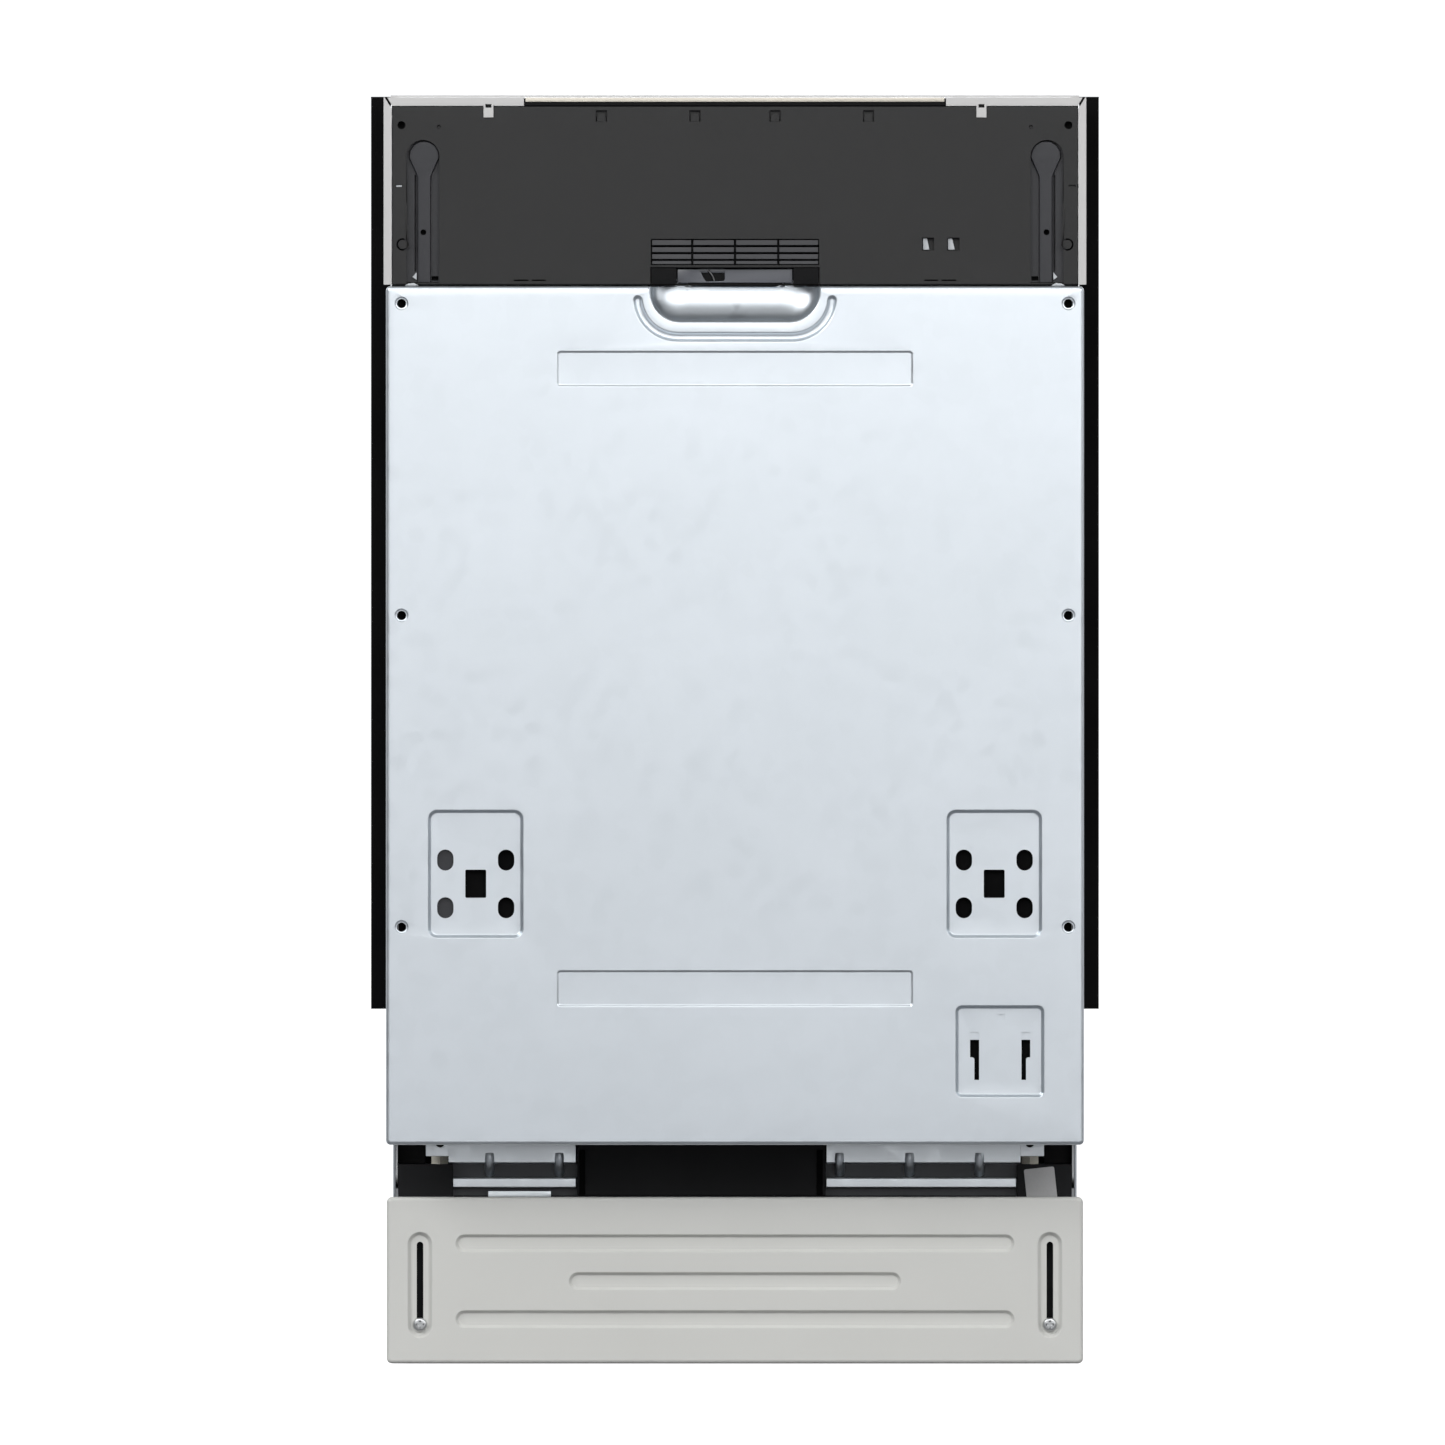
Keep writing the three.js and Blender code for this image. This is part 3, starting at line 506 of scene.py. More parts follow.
def bumped(tree, shader, height, distance, strength=1.0):
    """Distance is how far the surface rises over the height's whole range, in millimetres."""
    node = tree.nodes.new("ShaderNodeBump")
    node.inputs["Distance"].default_value = distance * MM
    node.inputs["Strength"].default_value = strength
    tree.links.new(height, node.inputs["Height"])
    tree.links.new(node.outputs["Normal"], shader.inputs["Normal"])


def coloured(tree, shader, value, first, second):
    tree.links.new(blended(tree, value, first, second), shader.inputs["Base Color"])


def roughened(tree, shader, value, low, high):
    tree.links.new(ranged(tree, value, low, high), shader.inputs["Roughness"])


# Zinc coated sheets: darkest and lightest colour. The crossbar's copy is painted light: a lighter zinc that
# makes up for the shade in the opening under the door.
ZINC = {
    "galvanised": ((0.575, 0.617, 0.652), (0.63, 0.672, 0.712)),
    "zinc_painted_light": ((0.84, 0.89, 0.93), (0.88, 0.93, 0.96)),
}


def zinc_sheet(name, dark, light):
    """Zinc coated sheet: a faint spangle, a rolled grain and slow waves in the sheet."""
    material, tree, shader, place = new_material(name)
    shader.inputs["Metallic"].default_value = 0.92
    spangle = cells(tree, place, 130)
    cloud = noise(tree, place, 7, 2)
    grain = noise(tree, place, 900, 2, (1, 1, 0.12))
    mottled = summed(tree, cloud, spangle, 0.25)
    coloured(tree, shader, mottled, dark, light)
    roughened(tree, shader, summed(tree, spangle, grain, 0.5), 0.30, 0.37)
    waves = noise(tree, place, 2.6, 1)
    bumped(tree, shader, summed(tree, waves, grain, 0.004), 1.2, 0.25)
    return material


def make_stainless():
    """Brushed stainless sheet, its grain running up and down."""
    material, tree, shader, place = new_material("stainless")
    shader.inputs["Metallic"].default_value = 1.0
    brush = noise(tree, place, 700, 3, (1, 1, 0.03))
    cloud = noise(tree, place, 12, 2)
    coloured(tree, shader, cloud, (0.62, 0.63, 0.64), (0.74, 0.75, 0.76))
    roughened(tree, shader, summed(tree, brush, cloud, 0.3), 0.2, 0.36)
    bumped(tree, shader, brush, 0.012, 0.6)
    return material


# Mouldings: darkest and lightest colour, roughness, and where it differs the grain's height,
# its scale and the specular level. Recycled base plastic is a shade greyer than the fine black
# one, and the flap is polished grey. The recess grey is painted shade: the colour of a plate
# that stands in for the shaded recess behind the crossbar.
PLASTICS = {
    "panel_plastic": {
        "dark": (0.0145, 0.0145, 0.0147), "light": (0.018, 0.018, 0.0182),
        "rough": (0.42, 0.55), "specular": 0.3,
    },
    "insert_plastic": {
        "dark": (0.021, 0.0215, 0.025), "light": (0.027, 0.0275, 0.032),
        "rough": (0.3, 0.42), "specular": 0.35,
    },
    "flap_plastic": {
        "dark": (0.075, 0.079, 0.092), "light": (0.095, 0.1, 0.115),
        "rough": (0.12, 0.22), "grain": 0.006, "scale": 400, "specular": 0.5,
    },
    "black_plastic": {
        "dark": (0.003, 0.003, 0.0034), "light": (0.005, 0.005, 0.0056),
        "rough": (0.4, 0.55), "specular": 0.1,
    },
    "base_plastic": {
        "dark": (0.008, 0.0083, 0.0095), "light": (0.012, 0.0125, 0.014),
        "rough": (0.45, 0.6), "specular": 0.2,
    },
    # Painted shade: the grey of the plate that stands in for the shaded recess behind the crossbar.
    "recess_painted_shade": {
        "dark": (0.095, 0.100, 0.106), "light": (0.12, 0.126, 0.132),
        "rough": (0.4, 0.5), "specular": 0.3,
    },
    "grey_plastic": {
        "dark": (0.42, 0.44, 0.46), "light": (0.50, 0.52, 0.54), "rough": (0.35, 0.48), "grain": 0.02,
    },
    "cream_plastic": {
        "dark": (0.86, 0.83, 0.70), "light": (0.93, 0.90, 0.79), "rough": (0.35, 0.5), "grain": 0.02,
    },
}


def plastic(name, dark, light, rough, grain=0.03, scale=1600, specular=0.4):
    """Moulded plastic: a fine leather-like grain and slight clouding."""
    material, tree, shader, place = new_material(name)
    shader.inputs["Specular IOR Level"].default_value = specular
    cloud = noise(tree, place, 18, 3)
    texture = noise(tree, place, scale, 2)
    coloured(tree, shader, cloud, dark, light)
    roughened(tree, shader, summed(tree, cloud, texture, 0.5), *rough)
    bumped(tree, shader, texture, grain, 0.5)
    return material


def make_gloss_plastic():
    """Polished black plastic with faint wipe marks."""
    material, tree, shader, place = new_material("gloss_plastic")
    shader.inputs["Coat Weight"].default_value = 0.5
    shader.inputs["Coat Roughness"].default_value = 0.06
    wipe = noise(tree, place, 40, 4, (1, 1, 6))
    coloured(tree, shader, wipe, (0.006, 0.0065, 0.008), (0.012, 0.013, 0.015))
    roughened(tree, shader, wipe, 0.08, 0.2)
    bumped(tree, shader, noise(tree, place, 300, 2), 0.004, 0.4)
    return material


def make_rubber():
    """Extruded rubber: dull, with fine lines along the run."""
    material, tree, shader, place = new_material("rubber")
    shader.inputs["Specular IOR Level"].default_value = 0.06
    lines = noise(tree, place, 500, 3, (1, 1, 0.02))
    bloom = noise(tree, place, 25, 4)
    coloured(tree, shader, bloom, (0.0015, 0.0015, 0.0017), (0.003, 0.003, 0.0033))
    roughened(tree, shader, bloom, 0.6, 0.85)
    bumped(tree, shader, lines, 0.04, 0.5)
    return material


def make_felt():
    """Pressed felt of mixed grey fibres."""
    material, tree, shader, place = new_material("felt")
    shader.inputs["Sheen Weight"].default_value = 0.4
    shader.inputs["Sheen Roughness"].default_value = 0.6
    shader.inputs["Roughness"].default_value = 0.95
    fibres = noise(tree, place, 420, 6, (1, 0.25, 0.6))
    tufts = noise(tree, place, 60, 4)
    coloured(tree, shader, summed(tree, fibres, tufts, 0.4), (0.05, 0.05, 0.055), (0.42, 0.42, 0.43))
    bumped(tree, shader, summed(tree, fibres, tufts, 0.8), 0.9, 0.8)
    return material


def make_coated_wire():
    """Grey nylon coating over wire, with soft dips from the coating bath."""
    material, tree, shader, place = new_material("coated_wire")
    shader.inputs["Coat Weight"].default_value = 0.2
    runs = noise(tree, place, 90, 3)
    coloured(tree, shader, runs, (0.36, 0.38, 0.40), (0.46, 0.48, 0.50))
    roughened(tree, shader, runs, 0.25, 0.42)
    bumped(tree, shader, runs, 0.08, 0.5)
    return material


def make_plinth_paint():
    """Beige grey stoved enamel with a light orange peel."""
    material, tree, shader, place = new_material("plinth_paint")
    peel = noise(tree, place, 260, 2)
    cloud = noise(tree, place, 9, 3)
    coloured(tree, shader, cloud, (0.575, 0.577, 0.552), (0.615, 0.617, 0.592))
    roughened(tree, shader, summed(tree, cloud, peel, 0.4), 0.36, 0.5)
    bumped(tree, shader, peel, 0.05, 0.35)
    return material


def make_fixing_steel():
    """Zinc plated steel with a faint yellow and blue bloom."""
    material, tree, shader, place = new_material("fixing_steel")
    shader.inputs["Metallic"].default_value = 1.0
    bloom = noise(tree, place, 50, 4)
    coloured(tree, shader, bloom, (0.50, 0.50, 0.47), (0.60, 0.62, 0.66))
    roughened(tree, shader, bloom, 0.22, 0.4)
    bumped(tree, shader, noise(tree, place, 800, 2), 0.01, 0.5)
    return material


def make_lip_white():
    """Light grey enamel of the inner door's folded edge."""
    material, tree, shader, place = new_material("lip_white")
    cloud = noise(tree, place, 14, 3)
    coloured(tree, shader, cloud, (0.46, 0.455, 0.45), (0.51, 0.505, 0.50))
    roughened(tree, shader, cloud, 0.35, 0.5)
    bumped(tree, shader, noise(tree, place, 500, 2), 0.02, 0.4)
    return material


def make_trim():
    """Pale champagne trim of the control strip."""
    material, tree, shader, place = new_material("trim")
    shader.inputs["Metallic"].default_value = 0.6
    cloud = noise(tree, place, 30, 3, (0.2, 1, 1))
    coloured(tree, shader, cloud, (0.43, 0.405, 0.35), (0.52, 0.49, 0.43))
    roughened(tree, shader, cloud, 0.3, 0.42)
    return material


def make_label():
    """Matt white label paper."""
    material, tree, shader, place = new_material("label")
    fibre = noise(tree, place, 700, 4)
    coloured(tree, shader, fibre, (0.52, 0.52, 0.525), (0.60, 0.60, 0.60))
    roughened(tree, shader, fibre, 0.6, 0.75)
    bumped(tree, shader, fibre, 0.02, 0.3)
    return material


MAKERS = {
    "stainless": make_stainless,
    "gloss_plastic": make_gloss_plastic,
    "rubber": make_rubber,
    "felt": make_felt,
    "coated_wire": make_coated_wire,
    "plinth_paint": make_plinth_paint,
    "fixing_steel": make_fixing_steel,
    "lip_white": make_lip_white,
    "trim": make_trim,
    "label": make_label,
}
made = {}


def material_of(look):
    """The look's material, made when a piece first asks for it."""
    if look not in made:
        if look in PLASTICS:
            made[look] = plastic(look, **PLASTICS[look])
        elif look in ZINC:
            made[look] = zinc_sheet(look, *ZINC[look])
        else:
            made[look] = MAKERS[look]()
    return made[look]


# ------------------------------------------------------------------ driving places
DOOR_LOW, DOOR_HIGH = box_mm("outer_door_panel")
_, LINER_HIGH = box_mm("inner_door_panel")
CONTROL_LOW, CONTROL_HIGH = box_mm("control_panel")
FRONT = DOOR_LOW.y
HALF = DOOR_HIGH.x
PANEL_LOW = DOOR_LOW.z
PANEL_TOP = DOOR_HIGH.z
DOOR_TOP = LINER_HIGH.z
CONTROL_FACE = CONTROL_LOW.y


# ------------------------------------------------------------------ steel door panel
SCOOP = {"half": 54, "low": 670, "corner": 19, "depth": 15, "reach": 22, "flare": 1.5}
PANEL_EDGE = 2.4
PANEL_CORNER = 3.0
PANEL_SCREWS = [(x, z) for x in (-214, 214) for z in (681.2, 481, 281)]
EMBOSSES = ((627.6, 651), (229.7, 253.5))  # heights of the two shallow label fields
EMBOSS_HALF = 114.5
BRACKET_X = 166.4
BRACKET_OVALS = [(x, z) for x in (-19.5, 19.5) for z in (293.4, 324)]
MAT = (-267.5, -265.5)  # the damping mat's two faces


def scoop_outline(inset, top):
    """The open U of the finger scoop, from its left rim to its right one."""
    half, low, r = SCOOP["half"] - inset, SCOOP["low"] + inset, SCOOP["corner"] - inset * 0.55
    left = arc((-half + r, low + r), r, 180, 270, 8)
    right = arc((half - r, low + r), r, 270, 360, 8)
    return [(-half, top), *left, *right, (half, top)]


def panel_outline(inset):
    """The panel's edge from the right rim of the scoop, clockwise to its left rim."""
    r, c = PANEL_CORNER - inset, PANEL_CORNER
    side, top, low = HALF - c, PANEL_TOP - c, PANEL_LOW + c
    rim = SCOOP["half"] + SCOOP["flare"]
    corners = (((side, top), 90), ((side, low), 0), ((-side, low), -90), ((-side, top), 180))
    points = [point for centre, start in corners for point in arc(centre, r, start, start - 90, 4)]
    return [(rim, PANEL_TOP - inset), *points, (-rim, PANEL_TOP - inset)]


def bracket_pocket(x):
    """Pocket for the furniture door's bracket: four ovals round a square hole."""
    holes = []
    for dx, z in BRACKET_OVALS:
        holes.append(rounded_rect((x + dx - 5.25, x + dx + 5.25), (z - 6.75, z + 6.75), 5.2, 5)())
    holes.append(rounded_rect((x - 6.7, x + 6.7), (299.75, 317.85), 0.8, 2)())
    outline = rounded_rect((x - 30.85, x + 30.85), (273.8, 356.5), 6)
    return Feature(outline, pressed(2.4, 3.1, 7), holes=holes)


def stepped_slot(wide, narrow):
    """A slot wide at its top half and narrow below, its step rounded."""
    top, step, low, r = 213.6, 197.4, 182.9, 1.5
    if wide[0] != narrow[0]:
        corner, inner, straight, turn = wide[0], narrow[0], wide[1], 0
    else:
        corner, inner, straight, turn = wide[1], narrow[1], wide[0], 180
    bend = arc((inner - math.copysign(r, inner - corner), step - r), r, 90, turn, 4)
    return [(corner, top), (corner, step), *bend, (inner, low), (straight, low), (straight, top)]


def hanger_pocket():
    """Pocket with two stepped slots and a small window, on the right side only."""
    holes = [
        stepped_slot((150.9, 156.7), (153.7, 156.7)),
        stepped_slot((183.9, 189.5), (183.9, 186.8)),
        [(167.2, 220.8), (173.2, 220.8), (173.2, 225), (167.2, 225)],
    ]
    return Feature(rounded_rect((141.3, 198.7), (171.5, 231), 4.2), pressed(2.4, 3.2, 7), holes=holes)


def door_backing():
    """The dark damping mat behind the steel, and the bright tabs that show in the hanger slots."""
    mat = [block((-216, 216), MAT, (148, 652))]
    mat += [block(outward(side, 72, 216), MAT, (640, 688)) for side in (-1, 1)]
    solid_piece("door_mat", mat, "rubber", "door", bevel=0)
    guide = block((-193, -180), (-269.5, -267.6), (284, 334))
    solid_piece("hinge_guide", [guide], "insert_plastic", "door", bevel=0.3)
    tab_depth = (-270.6, -270)
    tabs = [block((x, x + 7), tab_depth, (208.6, 216)) for x in (149.8, 182.8)]
    tabs.append(block((166.4, 174), tab_depth, (220, 226)))
    solid_piece("hanger_tabs", tabs, "galvanised", "door", bevel=0.1)


def u_groove():
    """The bead that runs under the scoop."""
    reach, low, r = 62.4, 659.7, 25.5
    left = arc((-reach + r, low + r), r, 184, 270, 12)
    right = arc((reach - r, low + r), r, 270, 356, 12)
    return Feature(band(left + right, 3.4), pressed(2.6, 2.2, 7))


def door_panel():
    sheet = Sheet(facing_front(FRONT))
    rim = sheet.ring(panel_outline(PANEL_EDGE), 0)
    scoop_rim = sheet.ring(scoop_outline(-SCOOP["flare"], PANEL_TOP - PANEL_EDGE), 0)
    features = [u_groove(), bracket_pocket(-BRACKET_X), bracket_pocket(BRACKET_X), hanger_pocket()]
    for span in EMBOSSES:
        outline = rounded_rect((-EMBOSS_HALF, EMBOSS_HALF), span, 2.5)
        features.append(Feature(outline, pressed(1.6, 0.75)))
    for place in PANEL_SCREWS:
        hole = circle(place, 3.0, 16)()
        features.append(Feature(circle(place, 4.6, 16), pressed(1.0, 0.9, 4), holes=[hole]))
    sheet.level(rim + scoop_rim, 0, features)
    sheet.roll(rim, panel_outline, PANEL_EDGE, DOOR_HIGH.y - FRONT, closed=False)
    walls = [sheet.ring(scoop_outline(i, PANEL_TOP - 0.4), drop) for i, drop in scoop_profile()]
    sheet.fill([sheet.chain(scoop_rim, walls, closed=False)])
    sheet_piece("door_panel", sheet, 0.8, "galvanised", "door", ["outer_door_panel"])


def scoop_profile(steps=14):
    """The scoop's wall: a rolled rim, then a quarter ellipse down to the floor."""
    start = 1.4
    profile = [(-1.0, 0.2), (-0.55, 0.6), (-0.2, 1.0)]
    for i in range(steps + 1):
        a = math.pi / 2 * i / steps
        drop = start + (SCOOP["depth"] - start) * math.sin(a)
        profile.append((SCOOP["reach"] * (1 - math.cos(a)), drop))
    return profile


# ------------------------------------------------------------------ control panel
CHANNEL_X = 200
VENT_LOW, VENT_TOP = 705.8, 722.7
VENT_ROWS = ((706.5, 708.6), (709.8, 712.9), (714.2, 717.4), (718.7, 722.0))
VENT_COLUMNS = ((-53.2, -28.1), (-26.7, -0.7), (0.7, 27.1), (28.5, 53.4))
CLIPS_X = (-85.7, -25.7, 25.7, 85.7)
WINDOWS = ((119.9, 128), (136, 144.3))
PIN = (213.3, 719.1)  # a channel pin's distance from the middle, and its height


def hook_channel(side):
    """Opening for one hook insert."""
    return keyhole((side * (CHANNEL_X + 0.3), 775.6), 10.6, 10.55, 694.6)()


def hook_insert(side):
    """Insert seen in the channel: a raised spoon, a groove and a dark seam beside its stem."""
    x = side * CHANNEL_X
    sheet = Sheet(facing_front(CONTROL_FACE + 5.5))
    border = sheet.ring(rounded_rect((x - 12.4, x + 12.4), (693.0, 789), 2, 3)(), 0)
    spoon = spoon_outline(x - side * 0.5, 776, 9.9, 4.4)
    raised = [(0, 0), (0.15, -2.2), (0.5, -2.9), (1.1, -3.2)]
    seam = rounded_rect(outward(side, 204.4, 205.7), (701.5, 764), 0.5, 2)
    notch = rounded_rect(outward(side, 190.3, 194.8), (696, 698.8), 0.2, 1)
    features = [
        Feature(spoon, raised, holes=[circle((x, 727), 1.9, 14)()]),
        Feature(seam, moulded(5.0, 0.2)),
    ]
    sheet.level(border, 0, features, [notch()])
    name = f"hook_insert_{hand(side)}"
    sheet_piece(name, sheet, 1.2, "insert_plastic", "door")


def spoon_outline(x, z, head, stem):
    """A round head whose shoulders run down in straight lines to a long stem."""

    def loop(inset=0.0):
        r, half, low = head - inset, stem - inset, 694 + inset
        shoulder = half + (r - half) * 0.3
        right = [(x + half, low), (x + half, z - 13.5), (x + shoulder, z - 9.5)]
        left = [(2 * x - u, v) for u, v in reversed(right)]
        return arc((x, z), r, -8, 188, 22) + left + right

    return loop


def vent_grille():
    """Four rows of flat louvres in four columns, set a little back in the panel."""
    parts = []
    face = CONTROL_FACE + 1.0
    for low, high in VENT_ROWS:
        blade = [(face, low), (face + 0.35, high), (face + 1.75, high), (face + 1.4, low)]
        for start, end in VENT_COLUMNS:
            parts.append(extruded(facing_left(start), blade, end - start))
    solid_piece("vent_grille", parts, "insert_plastic", "door", bevel=0.2)


def control_outline(inset=0.0):
    """The dark moulding's edge, cut out below for the handle."""
    x, low, high = CONTROL_HIGH.x + 0.3 - inset, CONTROL_LOW.z + 0.6 + inset, CONTROL_HIGH.z - inset
    notch, notch_top = SCOOP["half"] + inset, 704.2 + inset
    points = four_corners(x, low, high, max(1.0 - inset, 0.2), 4)
    return [(notch, low), *points, (-notch, low), (-notch, notch_top), (notch, notch_top)]


def control_face():
    """The dark moulding with its channels, vent, windows and screw and clip holes."""
    sheet = Sheet(facing_front(CONTROL_FACE))
    border = sheet.skirt(control_outline, 0.7, 28)
    half = SCOOP["half"]
    vent = rounded_rect((-half, half), (VENT_LOW, VENT_TOP), 0.6, 2)()
    holes = [hook_channel(-1), hook_channel(1), vent]
    features = []
    for x in CLIPS_X:
        outline = rounded_rect((x - 3.8, x + 3.8), (797.6, 805.4), 0.7, 3)
        features.append(Feature(outline, moulded(2.6, 0.4)))
    for side in (-1, 1):
        holes.append(circle((side * 214, 795.7), 2.6, 18)())
        features.append(Feature(circle((side * 190, 794.5), 1.5, 12), moulded(1.4, 0.3)))
        holes.append(circle((side * PIN[0], PIN[1]), 4.0, 20)())
        slot_x = -215.6 if side < 0 else 216.6
        slot = rounded_rect((slot_x - 2.4, slot_x + 2.4), (755.8, 757.5), 0.4, 2)
        features.append(Feature(slot, moulded(1.4, 0.2)))
        for inner, outer in ((121.5, 130.5), (132.5, 142)):
            holes.append(rounded_rect(outward(side, inner, outer), (695.7, 696.6), 0.2, 1)())
    for span in WINDOWS:
        features.append(Feature(rounded_rect(span, (715, 723.6), 0.5, 2), moulded(4.5, 0.3)))
    sheet.level(border, 0, features, holes)
    sheet_piece("control_fascia", sheet, 1.8, "panel_plastic", "door", ["control_panel"])


def handle_housing():
    """The black pocket round the handle flap: a back, a roof, a sill and two end blocks."""
    front, back, top = CONTROL_FACE + 0.4, -246, 704.0
    half, low = SCOOP["half"] - 0.2, PANEL_TOP + 0.5
    parts = [
        block((-half, half), (back - 2, back), (low, top)),
        block((-half, half), (front + 1.5, back), (704.3, 705.2)),
        block((-half, half), (front, front + 0.9), (PANEL_TOP + 0.3, 694.1)),
    ]
    parts += [block(outward(side, 37.4, half), (front, back), (low, top)) for side in (-1, 1)]
    solid_piece("handle_housing", parts, "black_plastic", "door", bevel=0.5)


def fascia_back():
    """Black box behind the control panel that closes its holes, with the vent's upright bars."""
    depth = (-262.5, -261)
    parts = [block((-218, 218), depth, (706, 806))]
    parts += [block(outward(side, 56, 218), depth, (693, 707)) for side in (-1, 1)]
    for x in (-27.4, 0, 27.8):
        parts.append(block((x - 0.5, x + 0.5), (CONTROL_FACE + 3.6, -262), (VENT_LOW, VENT_TOP)))
    solid_piece("fascia_back", parts, "black_plastic", "door", bevel=0.2)


def handle_flap():
    """The flap on its web and tongue, with an opening that shows the latch strap."""
    low, high = box_mm("latch_handle")
    slant = [(-21.6, 700.6), (-20.2, 697.6), (-18.6, 695.4), (-7.4, 695.8), (-6.6, 696.6)]
    window = [(-23.2, high.z - 0.4), *slant, (-6.6, high.z - 0.4)]
    face = [(low.x, low.z + 0.3), (high.x, low.z + 0.3), (high.x, high.z), (low.x, high.z)]
    flap = extruded(facing_front(low.y), face, 1.6, [window])
    web = block((low.x, high.x), (low.y + 1.5, high.y), (high.z - 2.4, high.z))
    tongue = block((-8, 8), (high.y - 3, high.y), (low.z + 0.8, high.z - 0.5))
    parts, body = [flap, web, tongue], "latch_handle"
    solid_piece("handle_flap", parts, "flap_plastic", body, ["latch_handle"], 0.35)


def latch_strap():
    """The curved strap and the plate seen in the flap's opening."""
    low, high = box_mm("latch_handle")
    plate = block((-24, -5.6), (low.y + 2.2, low.y + 3.0), (695, high.z - 2.6))
    solid_piece("latch_plate", [plate], "black_plastic", "latch_handle", bevel=0.1)
    bend = [(-17.5, 702.6), (-15.6, 700.6), (-14.2, 698.4), (-13.4, 695.8)]
    path = [(x, low.y + 1.9, z) for x, z in bend]
    wire_piece("latch_strap", [(path, 0.9)], "gloss_plastic", "latch_handle", sides=10)


def half_round_clips():
    """Snap hooks that show in the windows along the panel's top, and the two channel pins."""
    clips = []
    for x in CLIPS_X:
        profile = arc((x, 800.3), 2.7, 0, 180, 10) + [(x - 2.7, 797.9), (x + 2.7, 797.9)]
        clips.append(extruded(facing_front(CONTROL_FACE + 0.5), profile, 2.4))
    for side in (-1, 1):
        place = (side * PIN[0], PIN[1])
        clips.append(disc("y", place, 3.0, CONTROL_FACE - 0.4, CONTROL_FACE + 9, 24))
    solid_piece("snap_clips", clips, "panel_plastic", "door", bevel=0.3)


def window_clips():
    """Pale slanted catches in the two small windows, the left slot and the channels' feet."""
    parts = []
    for left, right in WINDOWS:
        wedge = [(left + 0.8, 723), (left + 3.4, 723), (right - 3.2, 715.8), (left + 0.8, 715.8)]
        parts.append(extruded(facing_front(CONTROL_FACE + 2.2), wedge, 2))
    slot_depth = (CONTROL_FACE + 0.6, CONTROL_FACE + 1.4)
    parts.append(block((-217.4, -213.8), slot_depth, (756.1, 757.2)))
    catch = [(204.4, 701.2), (204.4, 696.4), (207.0, 698.3)]
    spring = [(203, 692.7), (212, 692.7), (209.6, 694.0), (206, 694.4)]
    for side in (-1, 1):
        for outline, y, depth in ((catch, 3.5, 1.5), (spring, -0.3, 0.3)):
            placed = [(side * u, v) for u, v in outline]
            parts.append(extruded(facing_front(CONTROL_FACE + y), placed, depth))
    solid_piece("window_clips", parts, "grey_plastic", "door", bevel=0.1)


def top_tabs():
    """Two metal tabs that hold the panel's top edge, each with a dark notch in its head."""
    low, high, foot = 800.6, 808.9, 806.9
    right = [(3.2, low), (3.2, high), (1.9, high), (1.9, foot)]
    shape = [(-3.2, low), *right, (-1.9, foot), (-1.9, high), (-3.2, high)]
    tabs, notches = [], []
    for x in (-158.2, 158.2):
        tabs.append(extruded(facing_front(CONTROL_FACE - 0.9), [(x + u, v) for u, v in shape], 0.8))
        depth = (CONTROL_FACE - 0.25, CONTROL_FACE + 0.5)
        notches.append(block((x - 2, x + 2), depth, (806.7, 809.2)))
    solid_piece("panel_tabs", tabs, "lip_white", "door", bevel=0.2)
    solid_piece("tab_notches", notches, "black_plastic", "door", bevel=0)


# ------------------------------------------------------------------ inner door
LINER_NOTCH = 190.0


def liner_outline(inset=0.0):
    """The liner's edge over its notched foot, from the left notch round the top to the right."""
    wide, corner = 221.0, 6.0
    x, z, r = wide - corner, DOOR_TOP - corner, corner - inset
    top = arc((-x, z), r, 180, 90, 5) + arc((x, z), r, 90, 0, 5)
    return [(-wide + inset, LINER_NOTCH), *top, (wide - inset, LINER_NOTCH)]


def inner_door():
    """Stainless liner: rolled edges, a pressed field and a raised seat for the dispenser."""
    face, edge = LINER_HIGH.y, 3.0
    narrow, step, low, shelf = 210.0, 172, 143, 18
    sheet = Sheet(facing_back(face))
    rim = sheet.ring(liner_outline(edge), 0)
    foot_outline = [(narrow, LINER_NOTCH), (narrow, step), (-narrow, step), (-narrow, LINER_NOTCH)]
    foot = sheet.ring(foot_outline, 0)
    keeper = rounded_rect((-12, 12), (776, 794), 2, 3)()
    window = rounded_rect((-75, 75), (395, 525), 3, 3)()
    seat = Feature(rounded_rect((-90, 90), (380, 540), 14), pressed(5, -5), holes=[window])
    field = Feature(rounded_rect((-176, 176), (214, 764), 34, 8), pressed(9, 5, 7), [seat])
    ledge = Feature(rounded_rect((-185, 185), (180, 200), 8), pressed(3, 1.4))
    sheet.level(rim + foot, 0, [field, ledge], [keeper])
    sheet.roll(rim, liner_outline, edge, face - CONTROL_FACE - 1, closed=False)
    folds = [(step, 0), (step, shelf), (low, shelf)]
    first, *others = [sheet.ring([(narrow, z), (-narrow, z)], depth) for z, depth in folds]
    sheet.chain(first, others, closed=False)
    sheet_piece("door_liner", sheet, 0.7, "stainless", "door", ["inner_door_panel"])


def door_lips():
    """The folded light edge beside and above the control panel, mitred at the corners."""
    inner, outer, low = HALF - 3.6, HALF + 1.5, PANEL_TOP + 0.9
    top_low, top, strip, slit = 808.0, DOOR_TOP - 0.2, 135.4, 1.7
    upright = [(inner, low), (outer, low), (outer, top), (outer - 0.6, top), (inner, top_low - slit)]
    ledge = [(inner - 0.4, top_low), (outer - slit - 0.6, top), (strip, top), (strip, top_low)]
    parts = [block((-221, 221), (-271.5, -270.7), (813.2, 814.8))]
    for side in (-1, 1):
        for outline in (upright, ledge):
            placed = [(side * x, z) for x, z in outline]
            parts.append(extruded(facing_front(CONTROL_FACE), placed, 1.0))
    solid_piece("door_lips", parts, "lip_white", "door", bevel=0.25)


